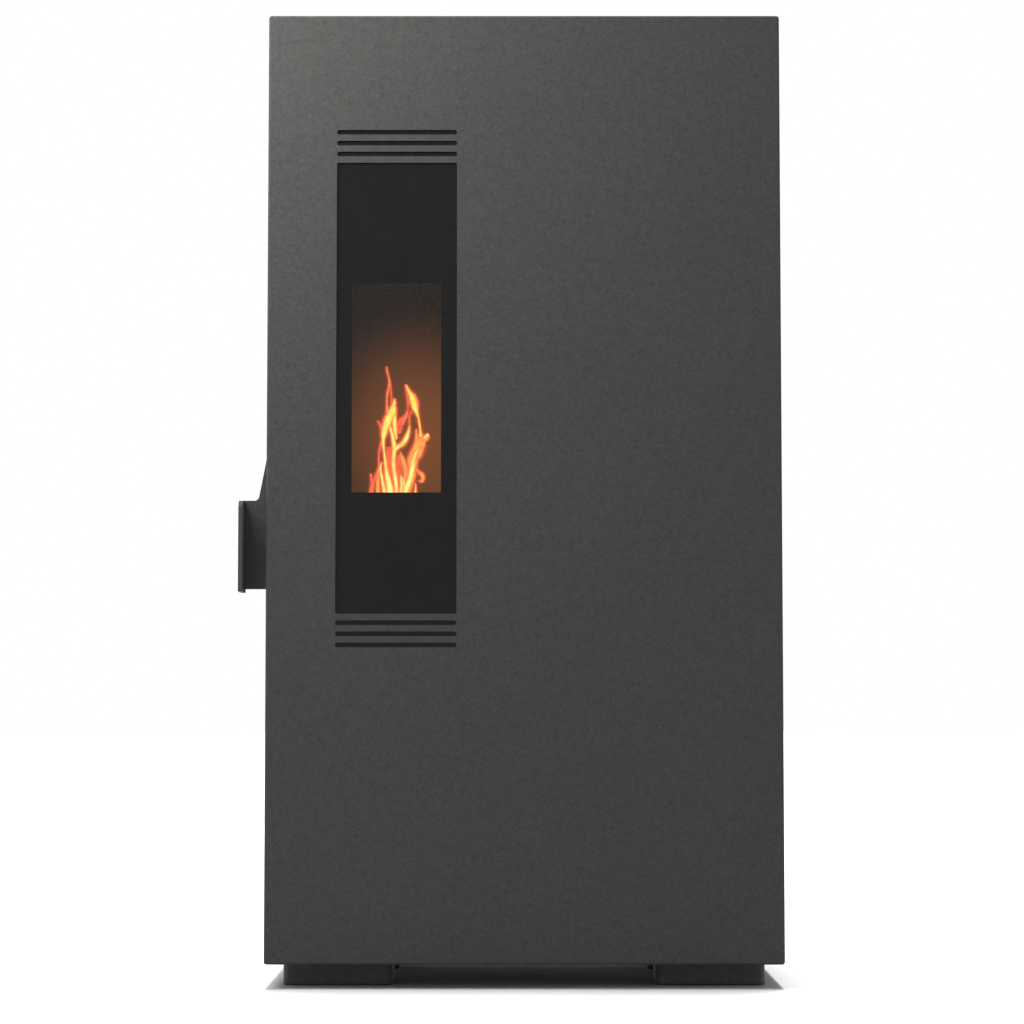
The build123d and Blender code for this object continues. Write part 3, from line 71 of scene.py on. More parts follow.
def objectPlace(tree):
    return addNode(tree, "ShaderNodeTexCoord").outputs["Object"]


def objectAxes(tree):
    return addNode(tree, "ShaderNodeSeparateXYZ", {0: objectPlace(tree)}).outputs


def addMath(tree, operation, first, second=0.0):
    return addNode(tree, "ShaderNodeMath", {0: first, 1: second}, operation=operation).outputs[0]


def addVectorMath(tree, operation, first, second):
    return addNode(tree, "ShaderNodeVectorMath", {0: first, 1: second}, operation=operation).outputs[0]


def addRange(tree, value, fromLow, fromHigh, toLow=0.0, toHigh=1.0, curve="LINEAR"):
    places = {"Value": value, "From Min": fromLow, "From Max": fromHigh, "To Min": toLow, "To Max": toHigh}
    return addNode(tree, "ShaderNodeMapRange", places, interpolation_type=curve).outputs["Result"]


def addNoise(tree, place, scale, detail=2.0, roughness=0.5):
    inputs = {"Vector": place, "Scale": scale, "Detail": detail, "Roughness": roughness}
    return addNode(tree, "ShaderNodeTexNoise", inputs).outputs["Fac"]


def addCells(tree, scale, channel):
    # Cells that each have one random tone
    cells = addNode(tree, "ShaderNodeTexVoronoi", {"Vector": objectPlace(tree), "Scale": scale})
    return addNode(tree, "ShaderNodeSeparateColor", {0: cells.outputs["Color"]}).outputs[channel]


def addBlend(tree, share, first, second):
    colours = {0: share, 6: first, 7: second}  # the Mix node's factor and its two colours
    return addNode(tree, "ShaderNodeMix", colours, data_type="RGBA").outputs[2]


def addBump(tree, height, depth):
    return addNode(tree, "ShaderNodeBump", {"Height": height, "Distance": depth}).outputs["Normal"]


def addSeenShare(tree):
    # 1 for what the camera sees, also reflected or through glass, and 0 for the light on other things
    rays = addNode(tree, "ShaderNodeLightPath").outputs
    bent = addMath(tree, "MAXIMUM", rays["Is Glossy Ray"], rays["Is Transmission Ray"])
    return addMath(tree, "MAXIMUM", rays["Is Camera Ray"], bent)


def startGroup(name, inputs, outputs):
    tree = bpy.data.node_groups.new(name, "ShaderNodeTree")
    for label in inputs:
        tree.interface.new_socket(label, in_out="INPUT", socket_type="NodeSocketFloat")
    for label, kind in outputs.items():
        tree.interface.new_socket(label, in_out="OUTPUT", socket_type="NodeSocket" + kind)
    return tree, tree.nodes.new("NodeGroupInput").outputs, tree.nodes.new("NodeGroupOutput")


grainPattern = {
    "fineShare": 0.65,
    "coarseScale": 0.31,  # as a share of the fine scale
    "slowScale": 9.0,
    "spread": (0.3, 0.7),
    "flecks": (0.66, 0.78),
}


def makeGrainGroup():
    # Fine grain with a few bright flecks over a slow mottle
    outputs = {"Shade": "Float", "Fleck": "Float", "Normal": "Vector"}
    tree, given, made = startGroup("fineGrain", ("Scale", "Depth", "Mottle"), outputs)
    place = objectPlace(tree)
    fine = addNoise(tree, place, given["Scale"], 3.0, 0.6)
    coarse = addNoise(tree, place, addMath(tree, "MULTIPLY", given["Scale"], grainPattern["coarseScale"]))
    slow = addNoise(tree, place, grainPattern["slowScale"], 3.0)
    fineHeight = addMath(tree, "MULTIPLY", fine, grainPattern["fineShare"])
    coarseHeight = addMath(tree, "MULTIPLY", coarse, 1 - grainPattern["fineShare"])
    height = addMath(tree, "ADD", fineHeight, coarseHeight)
    mottle = addMath(tree, "MULTIPLY", addMath(tree, "SUBTRACT", slow, 0.5), given["Mottle"])
    fillInputs(tree, made, {
        "Shade": addMath(tree, "ADD", addRange(tree, height, *grainPattern["spread"]), mottle),
        "Fleck": addRange(tree, fine, *grainPattern["flecks"]),
        "Normal": addBump(tree, height, given["Depth"]),
    })
    return tree


patchEdge = 0.16  # how softly a patch ends
streakSpread = (0.3, 0.7)


def makePatchGroup():
    # A patchy mask for soot, ash, smoke or dust
    tree, given, made = startGroup("patches", ("Scale", "Amount"), {"Mask": "Float"})
    clouds = addNoise(tree, objectPlace(tree), given["Scale"], 5.0, 0.62)
    border = addMath(tree, "SUBTRACT", 1.0, given["Amount"])
    low = addMath(tree, "SUBTRACT", border, patchEdge)
    high = addMath(tree, "ADD", border, patchEdge)
    fillInputs(tree, made, {"Mask": addRange(tree, clouds, low, high)})
    return tree


def makeStreakGroup():
    # Rolling or turning marks, drawn out along one direction
    outputs = {"Shade": "Float", "Normal": "Vector"}
    tree, given, made = startGroup("streaks", ("Along", "Across", "Depth"), outputs)
    scales = {"X": given["Along"], "Y": given["Across"], "Z": given["Across"]}
    size = addNode(tree, "ShaderNodeCombineXYZ", scales).outputs[0]
    marks = addNoise(tree, addVectorMath(tree, "MULTIPLY", objectPlace(tree), size), 1.0, 4.0, 0.65)
    fillInputs(tree, made, {
        "Shade": addRange(tree, marks, *streakSpread),
        "Normal": addBump(tree, marks, given["Depth"]),
    })
    return tree


grainGroup = makeGrainGroup()
patchGroup = makePatchGroup()
streakGroup = makeStreakGroup()
print("shared node groups made")


def useGroup(tree, group, inputs):
    return addNode(tree, "ShaderNodeGroup", inputs, node_tree=group).outputs


def addGrain(tree, scale, depth, mottle):
    return useGroup(tree, grainGroup, {"Scale": scale, "Depth": depth, "Mottle": mottle})


def addPatchMask(tree, scale, amount):
    return useGroup(tree, patchGroup, {"Scale": scale, "Amount": amount})["Mask"]


def addPatches(tree, colour, patches):
    # Dust or smoke over a part of a surface
    mask = addPatchMask(tree, patches["scale"], patches["amount"])
    return addBlend(tree, addMath(tree, "MULTIPLY", mask, patches["share"]), colour, patches["tone"])


def startMaterial(name):
    material = bpy.data.materials.new(name)
    material.use_nodes = True
    return material, material.node_tree, material.node_tree.nodes["Principled BSDF"]


def grey(level, warm=0.0):
    return (level * (1 + warm), level, level * (1 - warm), 1.0)


# Finishes

stovePaint = {
    "tones": ((0.043, 0.042, 0.0403, 1.0), (0.074, 0.0723, 0.0693, 1.0)),
    "fleckTone": (0.18, 0.177, 0.171, 1.0),
    "fleckShare": 0.5,
    "grain": {"scale": 640.0, "depth": 0.00012, "mottle": 0.16},
    "rough": (0.62, 0.48),
    "shine": 0.22,
}


def makeStovePaint():
    material, tree, shader = startMaterial("stovePaint")
    grain = addGrain(tree, **stovePaint["grain"])
    colour = addBlend(tree, grain["Shade"], *stovePaint["tones"])
    flecks = addMath(tree, "MULTIPLY", grain["Fleck"], stovePaint["fleckShare"])
    fillInputs(tree, shader, {
        "Base Color": addBlend(tree, flecks, colour, stovePaint["fleckTone"]),
        "Roughness": addRange(tree, grain["Shade"], 0.0, 1.0, *stovePaint["rough"]),
        "Normal": grain["Normal"],
        "Specular IOR Level": stovePaint["shine"],
    })
    return material


# Materials that are all grain, with their dark and light grey
grained = {
    "footRubber": {"tones": (0.056, 0.092), "rough": (0.75, 0.6), "scale": 520.0, "depth": 0.0002},
    "siliconeSponge": {"tones": (0.05, 0.09), "rough": (0.7, 0.85), "scale": 900.0, "depth": 0.0002},
    "flueBlack": {"tones": (0.02, 0.035), "rough": (0.5, 0.65), "scale": 1100.0, "depth": 0.00006},
    "motorEnamel": {"tones": (0.1, 0.15), "rough": (0.35, 0.5), "scale": 700.0, "depth": 0.00005},
    "panelPlastic": {"tones": (0.010, 0.016), "rough": (0.14, 0.22), "scale": 1500.0, "depth": 0.00001},
    "buttonPlastic": {"tones": (0.03, 0.048), "rough": (0.5, 0.62), "scale": 1400.0, "depth": 0.00004},
    "displayLens": {"tones": (0.006, 0.009), "rough": (0.04, 0.08), "scale": 300.0, "depth": 0.000002},
}
grainedMottle = 0.3


def makeGrained(name):
    material, tree, shader = startMaterial(name)
    look = grained[name]
    grain = addGrain(tree, look["scale"], look["depth"], grainedMottle)
    dark, light = look["tones"]
    fillInputs(tree, shader, {
        "Base Color": addBlend(tree, grain["Shade"], grey(dark), grey(light)),
        "Roughness": addRange(tree, grain["Shade"], 0.0, 1.0, *look["rough"]),
        "Normal": grain["Normal"],
    })
    return material


# Bare metals with rolling or turning marks
streaked = {
    "screwBlack": {"tones": (grey(0.09), grey(0.16)), "rough": (0.4, 0.55),
                   "along": 300.0, "across": 700.0, "depth": 0.00001},
    "turnedSteel": {"tones": (grey(0.42), grey(0.6)), "rough": (0.28, 0.42),
                    "along": 30.0, "across": 900.0, "depth": 0.00001},
    "fanAluminium": {"tones": (grey(0.6), grey(0.76)), "rough": (0.3, 0.45),
                     "along": 12.0, "across": 500.0, "depth": 0.00001},
    "sinteredBronze": {"tones": ((0.32, 0.2, 0.09, 1.0), (0.46, 0.3, 0.14, 1.0)), "rough": (0.35, 0.5),
                       "along": 200.0, "across": 600.0, "depth": 0.00002},
}
metalDust = {"scale": 14.0, "amount": 0.42, "share": 0.25, "tone": grey(0.2, 0.03)}


def makeStreaked(name):
    material, tree, shader = startMaterial(name)
    look = streaked[name]
    marks = {"Along": look["along"], "Across": look["across"], "Depth": look["depth"]}
    streaks = useGroup(tree, streakGroup, marks)
    fillInputs(tree, shader, {
        "Base Color": addPatches(tree, addBlend(tree, streaks["Shade"], *look["tones"]), metalDust),
        "Roughness": addRange(tree, streaks["Shade"], 0.0, 1.0, *look["rough"]),
        "Normal": streaks["Normal"],
        "Metallic": 1.0,
    })
    return material


zinc = {
    "crystals": 95.0,
    "tones": ((0.3, 0.305, 0.31, 1.0), (0.42, 0.427, 0.435, 1.0)),
    "rough": (0.4, 0.56),
    "dust": {"scale": 11.0, "amount": 0.4, "share": 0.3, "tone": grey(0.2, 0.04)},
    # painted shade: below these heights the sheet is darkened towards this grey, where the stove shades it
    "paintedShadeHeights": (0.03, 0.06),
    "paintedShadeShare": 0.9,
    "paintedShadeTone": grey(0.06),
}


def makeZinc():
    # Zinc coated sheet with its faint crystals, with painted shade darkening it near the floor under the
    # stove
    material, tree, shader = startMaterial("zincSheet")
    crystal = addCells(tree, zinc["crystals"], "Red")
    dusty = addPatches(tree, addBlend(tree, crystal, *zinc["tones"]), zinc["dust"])
    # painted shade: darker towards the bottom of the sheet
    paintedShade = addRange(tree, objectAxes(tree)["Z"], *zinc["paintedShadeHeights"], zinc["paintedShadeShare"], 0.0)
    fillInputs(tree, shader, {
        "Base Color": addBlend(tree, paintedShade, dusty, zinc["paintedShadeTone"]),
        "Roughness": addRange(tree, crystal, 0.0, 1.0, *zinc["rough"]),
        "Metallic": 1.0,
    })
    return material


# Heat resistant paint under soot, and iron under ash
fireside = {
    "furnacePaint": {"tones": (grey(0.03), grey(0.06)), "cover": grey(0.016, 0.08), "amount": 0.5,
                     "rough": (0.6, 0.92), "metal": 0.0},
    "castIron": {"tones": (grey(0.05, 0.05), grey(0.1, 0.05)), "cover": grey(0.24, 0.06), "amount": 0.36,
                 "rough": (0.72, 0.95), "metal": 0.35},
}
firesideGrain = {"scale": 420.0, "depth": 0.00025, "mottle": 0.6}
firesidePatchScale = 16.0


def makeFireside(name):
    material, tree, shader = startMaterial(name)
    look = fireside[name]
    grain = addGrain(tree, **firesideGrain)
    covered = addPatchMask(tree, firesidePatchScale, look["amount"])
    fillInputs(tree, shader, {
        "Base Color": addBlend(tree, covered, addBlend(tree, grain["Shade"], *look["tones"]), look["cover"]),
        "Roughness": addRange(tree, covered, 0.0, 1.0, *look["rough"]),
        "Normal": grain["Normal"],
        "Metallic": look["metal"],
    })
    return material


liner = {
    "flakes": 380.0,
    "tones": ((0.2, 0.155, 0.11, 1.0), (0.36, 0.29, 0.2, 1.0)),
    "relief": 0.0004,
    "smoke": {"scale": 9.0, "amount": 0.6, "share": 0.75, "tone": grey(0.03, 0.1)},
}


def makeLiner():
    # Pressed vermiculite, flecked, browned by smoke
    material, tree, shader = startMaterial("linerBoard")
    flake = addCells(tree, liner["flakes"], "Green")
    fillInputs(tree, shader, {
        "Base Color": addPatches(tree, addBlend(tree, flake, *liner["tones"]), liner["smoke"]),
        "Normal": addBump(tree, flake, liner["relief"]),
        "Roughness": 0.95,
    })
    return material


fireback = {
    "tones": (grey(0.012, 0.1), grey(0.022, 0.1)),
    "grain": {"scale": 380.0, "depth": 0.0002, "mottle": 0.4},
    # painted firelight: where the fire's light on the iron is painted as glow, its size and how it fades
    "paintedFirelightMiddle": (potMiddle.x + 0.016, 0.0, potHigh.z + 0.076),
    "paintedFirelightSize": (0.13, 0.155),
    "paintedFirelightFade": (0.1, 1.05),
    "nearPaintedFirelight": (0.185, 0.068, 0.028, 1.0),
    "farPaintedFirelight": (0.0245, 0.0205, 0.018, 1.0),
}


def makeFirebackPaintedFirelight():
    # Iron with painted firelight: an emission glow, brightest low down behind the flames and faint
    # everywhere else, stands in for the fire's light falling on it
    material, tree, shader = startMaterial("firebackIronPaintedFirelight")
    grain = addGrain(tree, **fireback["grain"])
    wide, high = fireback["paintedFirelightSize"]
    away = addVectorMath(tree, "SUBTRACT", objectPlace(tree), fireback["paintedFirelightMiddle"])
    scaled = addVectorMath(tree, "MULTIPLY", away, (1 / wide, 0.0, 1 / high))
    far = addNode(tree, "ShaderNodeVectorMath", {0: scaled}, operation="LENGTH").outputs["Value"]
    share = addRange(tree, far, *fireback["paintedFirelightFade"], curve="SMOOTHSTEP")
    fillInputs(tree, shader, {
        "Base Color": addBlend(tree, grain["Shade"], *fireback["tones"]),
        "Normal": grain["Normal"],
        # painted firelight: the iron glows near the flames and faintly further off, in place of the fire
        # lighting it
        "Emission Color": addBlend(tree, share, fireback["nearPaintedFirelight"], fireback["farPaintedFirelight"]),
        "Emission Strength": 1.0,
        "Roughness": 0.9,
        "Specular IOR Level": 0.0,
    })
    return material


pane = {"bend": 1.08, "smearScale": 30.0, "smears": 0.35, "smearShine": 0.08, "smearBend": 1.3}


def makePaneGlass():
    material, tree, shader = startMaterial("paneGlass")
    smears = addPatchMask(tree, pane["smearScale"], pane["smears"])
    fillInputs(tree, shader, {
        "Base Color": (1.0, 1.0, 1.0, 1.0),
        "Roughness": 0.0,
        "Transmission Weight": 1.0,
        "IOR": pane["bend"],
        "Coat Weight": addRange(tree, smears, 0.0, 1.0, 0.0, pane["smearShine"]),
        "Coat IOR": pane["smearBend"],
    })
    return material


rope = {
    "strandWidth": 0.0034,
    "slant": 1.4,
    "relief": 0.0006,
    # the dark grey is painted shade in the grooves, the light grey the strand tops
    "tones": (grey(0.06), grey(0.22)),
    "fluff": 0.3,
}


def makeRope():
    # Two crossing sets of strands, with painted shade: the colour goes dark in the grooves between strands
    # and light on their tops
    material, tree, shader = startMaterial("ropeBraid")
    axes = objectAxes(tree)
    rising = addMath(tree, "ADD", axes["X"], axes["Z"])
    falling = addMath(tree, "SUBTRACT", axes["X"], axes["Z"])
    deep = addMath(tree, "MULTIPLY", axes["Y"], rope["slant"])
    turns = math.pi / rope["strandWidth"]
    ridges = []
    for way in (addMath(tree, "ADD", rising, deep), addMath(tree, "SUBTRACT", falling, deep)):
        wave = addMath(tree, "SINE", addMath(tree, "MULTIPLY", way, turns))
        ridges.append(addMath(tree, "ABSOLUTE", wave))
    height = addMath(tree, "MAXIMUM", *ridges)
    fillInputs(tree, shader, {
        # painted shade: colour follows the braid's relief, darkest in the grooves
        "Base Color": addBlend(tree, height, *rope["tones"]),
        "Normal": addBump(tree, height, rope["relief"]),
        "Roughness": 0.95,
        "Sheen Weight": rope["fluff"],
    })
    return material


# A brick pattern, whose mortar is the tracks
board = {
    "Scale": 60.0,
    "Mortar Size": 0.012,
    "Color1": (0.012, 0.075, 0.03, 1.0),
    "Color2": (0.016, 0.095, 0.04, 1.0),
    "Mortar": (0.05, 0.2, 0.08, 1.0),
}
boardRelief = 0.00005


def makeBoard():
    # Circuit laminate with its tracks
    material, tree, shader = startMaterial("boardLaminate")
    tracks = addNode(tree, "ShaderNodeTexBrick", {"Vector": objectPlace(tree), **board}).outputs
    fillInputs(tree, shader, {
        "Base Color": tracks["Color"],
        "Normal": addBump(tree, tracks["Fac"], boardRelief),
        "Roughness": 0.42,
    })
    return material


slotFinishes = {
    "stove_paint": makeStovePaint(),
    "foot_plastic": makeGrained("footRubber"),
    "zinc_steel": makeZinc(),
    "screw_steel": makeStreaked("screwBlack"),
    "pin_steel": makeStreaked("turnedSteel"),
    "furnace_steel": makeFireside("furnacePaint"),
    "stove_iron": makeFireside("castIron"),
    "liner_board": makeLiner(),
    "door_glass": makePaneGlass(),
    "rope_seal": makeRope(),
    "seal_rubber": makeGrained("siliconeSponge"),
    "flue_steel": makeGrained("flueBlack"),
    "motor_steel": makeGrained("motorEnamel"),
    "fan_aluminium": makeStreaked("fanAluminium"),
    "panel_plastic": makeGrained("panelPlastic"),
    "button_plastic": makeGrained("buttonPlastic"),
    "display_lens": makeGrained("displayLens"),
    "board_laminate": makeBoard(),
    "bronze_bush": makeStreaked("sinteredBronze"),
}
for part in frame["record"]["subparts"]:
    nodes[part["node"]].material_slots[0].material = slotFinishes[part["material_slot"]]
nodes["fireback"].material_slots[0].material = makeFirebackPaintedFirelight()
print("finishes given to", len(nodes), "nodes")


# New pieces

def makeObject(shape, name, material, smooth=False):
    mesh = bpy.data.meshes.new(name)
    shape.to_mesh(mesh)
    shape.free()
    for face in mesh.polygons:
        face.use_smooth = smooth
    mesh.materials.append(material)
    piece = bpy.data.objects.new(name, mesh)
    bpy.context.scene.collection.objects.link(piece)
    return piece


def makePiece(shape, name, body, material, smooth=False):
    piece = makeObject(shape, name, material, smooth)
    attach(piece, body)


def pickVerts(grown):
    return [item for item in grown["geom"] if isinstance(item, bmesh.types.BMVert)]


glassPrint = {
    "gasketWidth": 0.007,
    "gap": 0.0003,
    "thickness": 0.00015,
    "clearSides": (-0.1844, -0.0888),  # from the stove's middle
    "clearHeights": (0.5255, 0.7508),
    "tones": (grey(0.0035), grey(0.006)),
    "grain": {"scale": 90.0, "depth": 0.0, "mottle": 0.8},
}


def makePrintMaterial():
    # Black enamel under a thin clear shine
    material, tree, shader = startMaterial("printEnamel")
    grain = addGrain(tree, **glassPrint["grain"])
    fillInputs(tree, shader, {
        "Base Color": addBlend(tree, grain["Shade"], *glassPrint["tones"]),
        "Roughness": 0.6,
        "Specular IOR Level": 0.0,
        "Coat Weight": 1.0,
        "Coat IOR": 1.28,
        "Coat Roughness": 0.02,
    })
    return material


def makeGlassPrint():
    # The black border printed on the pane inside its gasket, with the bare window for the fire
    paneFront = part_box("door_glass")[0].y
    gasketLow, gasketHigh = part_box("glass_gasket")
    border = glassPrint["gasketWidth"] + glassPrint["gap"]
    low = Vector((gasketLow.x + border, paneFront, gasketLow.z + border))
    high = Vector((gasketHigh.x - border, paneFront, gasketHigh.z - border))
    left, right = (stoveMiddle + side for side in glassPrint["clearSides"])
    bottom, top = glassPrint["clearHeights"]
    shape = bmesh.new()
    bmesh.ops.create_grid(shape, x_segments=1, y_segments=1, size=0.5)
    upright = Matrix.Rotation(math.radians(90), 4, "X")
    stretch = Matrix.Diagonal((high.x - low.x, 1.0, high.z - low.z, 1.0))
    centre = Matrix.Translation((low + high) / 2)
    bmesh.ops.transform(shape, matrix=centre @ stretch @ upright, verts=shape.verts)
    cuts = ((left, (1, 0, 0)), (right, (1, 0, 0)), (bottom, (0, 0, 1)), (top, (0, 0, 1)))
    for place, normal in cuts:
        everything = shape.verts[:] + shape.edges[:] + shape.faces[:]
        bmesh.ops.bisect_plane(shape, geom=everything, plane_co=Vector(normal) * place, plane_no=normal)
    middles = {face: face.calc_center_median() for face in shape.faces}
    bare = [face for face, middle in middles.items() if left < middle.x < right and bottom < middle.z < top]
    bmesh.ops.delete(shape, geom=bare, context="FACES")
    grown = bmesh.ops.extrude_face_region(shape, geom=shape.faces[:])
    bmesh.ops.translate(shape, verts=pickVerts(grown), vec=(0, -glassPrint["thickness"], 0))
    bmesh.ops.recalc_face_normals(shape, faces=shape.faces)
    makePiece(shape, "glass_print", "front_door", makePrintMaterial())


makeGlassPrint()
print("glass print made")


# A flame is a path of (sideways, height, half width) in millimetres from the middle of the pot's
# rim, with its depth in the pot and how many of the shells below it has, from the outside in.
flames = [
    {"depth": 0, "shells": 4, "path": [
        (-13.5, 8.5, 4.2), (-14, 19.5, 3.6), (-17, 35.5, 2.3), (-18.5, 50.5, 1.4), (-20, 61, 1.4),
        (-20.5, 69.5, 2.1), (-19, 78, 4), (-16, 87.5, 5), (-12.5, 96, 5), (-9, 104.5, 3.4),
        (-7.5, 111, 1.7), (-7.5, 115.5, 0.2)]},
    {"depth": -6, "shells": 4, "path": [
        (-4.5, 8.5, 2.5), (-5.5, 19.5, 2.5), (-8, 34.5, 2.5), (-8.5, 45, 2.3), (-7.5, 53.5, 2.6),
        (-7.5, 62, 2.6), (-9, 70, 2.3), (-11, 77, 2.1), (-12.5, 83.5, 1.3)]},
    {"depth": 3, "shells": 4, "path": [
        (-5.5, 69.5, 1.1), (-7, 78, 2.5), (-8, 88, 2.9), (-8, 97.5, 2.5), (-7.5, 106, 1.3)]},
    {"depth": -10, "shells": 4, "path": [
        (-8, 55.5, 2.1), (-3.5, 59.5, 2.3), (2, 63, 3.1), (6, 69.5, 2.9), (8.5, 76.5, 2),
        (9.5, 83.5, 0.6)]},
    {"depth": -10, "shells": 2, "path": [
        (9.5, 82.5, 0.6), (9, 89.5, 0.4), (9.5, 95.5, 0.5), (12, 99.5, 0.9)]},
    {"depth": 8, "shells": 2, "path": [
        (1, 86.5, 0.5), (2.5, 92, 0.5), (5.5, 96.5, 0.6), (7, 105, 0.6), (7, 115.5, 0.9),
        (6, 123, 1.4), (4.5, 131.5, 0.3)]},
    {"depth": 5, "shells": 4, "path": [
        (4.5, 131.5, 0.2), (7.5, 124.5, 2.1), (11, 119, 3.1), (13, 111.5, 4.2), (15, 105, 4),
        (17, 99.5, 2.1), (19, 93.5, 1.3), (20, 86.5, 0.9), (21, 79.5, 1.2), (21.5, 72.5, 2.5)]},
    {"depth": 9, "shells": 3, "path": [
        (14, 122, 0.3), (15.5, 115.5, 1.5), (17.5, 107.5, 1.7), (16, 102, 0.6)]},
    {"depth": 1, "shells": 3, "path": [
        (4.5, 8.5, 4.2), (9, 19.5, 4.2), (12, 30, 4), (12.5, 38.5, 4.4), (12.5, 46, 5.9),
        (16.5, 53.5, 6.3), (20.5, 61.5, 5.5), (23, 68, 4), (26.5, 70, 2.7), (29, 72.5, 2.5),
        (31, 74, 1.1)]},
    {"depth": -13, "shells": 4, "path": [
        (4.5, 8.5, 3.4), (9, 19.5, 3.4), (12, 30, 3.2), (13, 38.5, 3.2), (14, 46, 2.8), (17.5, 55, 1)]},
    {"depth": -14, "shells": 4, "path": [
        (25, 68.5, 0.6), (27, 70, 1.6), (29, 72, 2), (31, 74, 1)]},
    {"depth": 11, "shells": 3, "path": [
        (14.5, 52.5, 3.1), (16.5, 62, 3.6), (17, 69.5, 1.7), (16, 82, 0.3)]},
    {"depth": -4, "shells": 3, "path": [
        (7.5, 16, 2.7), (6, 30, 2.7), (3.5, 41, 2.3), (1, 49, 1.6), (-1.5, 55, 0.3)]},
    {"depth": -9, "shells": 4, "path": [
        (0.5, 8.5, 2.7), (1, 17.5, 2.1), (0, 28, 0.5)]},
    {"depth": -7, "shells": 3, "path": [
        (16, 36, 0.5), (20, 31.5, 1.5), (23.5, 29, 2.1), (25, 24.5, 1.8), (23, 20.5, 1.1)]},
    {"depth": -5, "shells": 2, "path": [
        (23, 21, 1.1), (20.5, 22, 0.7), (19, 23.5, 0.3)]},
    {"depth": -11, "shells": 4, "path": [
        (16, 8.5, 1.4), (16.5, 14.5, 0.7), (16.5, 19.5, 0.1)]},
    {"depth": 2, "shells": 2, "path": [
        (-35, 8.5, 1.5), (-32.5, 17.5, 0.9), (-34, 31, 0.3)]},
    {"depth": -3, "shells": 3, "path": [
        (-26, 8.5, 2.1), (-26, 23.5, 1.5), (-24.5, 41, 0.4)]},
    {"depth": 6, "shells": 2, "path": [
        (-33, 8.5, 0.9), (-31, 22.5, 0.8), (-26.5, 35, 0.4)]},
    {"depth": -12, "shells": 4, "path": [
        (-18, 8.5, 2.5), (-20, 19.5, 2), (-22, 30.5, 1.5), (-23, 36.5, 1.4), (-21, 43, 0.3)]},
    {"depth": 4, "shells": 2, "path": [
        (-25, 41, 0.4), (-25.5, 51.5, 0.4), (-24, 61, 0.4), (-22, 67.5, 0.5)]},
    {"depth": 7, "shells": 2, "path": [
        (-20, 78, 1.5), (-24, 85.5, 0.9), (-27, 91, 0.2)]},
    {"depth": -2, "shells": 3, "path": [
        (-15.5, 98.5, 1.3), (-16.5, 108, 0.6), (-16, 119.5, 0.6), (-14, 128, 0.7), (-13, 134.5, 0.6),
        (-15, 140.5, 0.5), (-16.5, 147, 0.5), (-16.5, 151, 0.1)]},
    {"depth": 12, "shells": 2, "path": [
        (-10, 107.5, 0.9), (-12, 117.5, 0.6), (-12.5, 126.5, 0.6), (-13, 133, 0.4)]},
    {"depth": 13, "shells": 2, "path": [
        (-3.5, 77, 1.3), (-2.5, 85, 2.7), (0, 92, 2.7), (4, 96, 1.1), (6.5, 101, 0.3)]},
    {"depth": 14, "shells": 2, "path": [
        (-14, 8.5, 6.5), (-14, 28, 4.6), (-14, 46, 2.9), (-14.5, 62, 1.7)]},
    {"depth": 15, "shells": 2, "path": [
        (-2, 8.5, 4.6), (-2.5, 30, 3.1), (-3.5, 45, 2.1), (-3, 53, 0.6)]},
    {"depth": -1, "shells": 4, "path": [
        (-13, 2.5, 7.9), (-13, 11, 6.5), (-13, 19.5, 3.8), (-13, 28, 0.4)]},
    {"depth": -8, "shells": 4, "path": [
        (4, 2.5, 6.9), (4, 11, 5.9), (3.5, 18.5, 2.7), (3, 26, 0.4)]},
]
# Thin shells whose glow adds up: red alone at the rims, orange and yellow where green joins it
flameShells = {
    "flame_halo": {"grow": 1.2, "extra": 0.0022, "alpha": 0.05, "strength": 2.4,
                   "low": (1.0, 0.12, 0.04, 1.0), "high": (1.0, 0.09, 0.05, 1.0)},
    "flame_edges": {"grow": 1.08, "extra": 0.0006, "alpha": 0.15, "strength": 2.4,
                    "low": (1.0, 0.16, 0.07, 1.0), "high": (1.0, 0.12, 0.08, 1.0)},
    "flame_bodies": {"grow": 0.92, "extra": 0.0, "alpha": 0.14, "strength": 1.25,
                     "low": (0.8, 1.0, 0.12, 1.0), "high": (0.5, 0.9, 0.1, 1.0)},
    "flame_cores": {"grow": 0.66, "extra": -0.0002, "alpha": 0.15, "strength": 3.1,
                    "low": (0.4, 1.0, 0.4, 1.0), "high": (0.4, 1.0, 0.06, 1.0)},
}
tongue = {
    "rootedBelow": 10,  # millimetres, as in the paths
    "rootHeight": -14,
    "thinnest": 0.0001,
    "flatness": 0.7,
    "sideSteps": 3,
    "lengthSteps": 8,
    "weld": 0.00002,
}
flicker = {
    "reach": 0.12,  # height over which the colour changes
    "lickScale": 70.0,
    "lick": 0.12,
    "wispScale": 160.0,
    "wispSpread": (0.35, 0.65),
    "wisps": (0.6, 1.2),
}


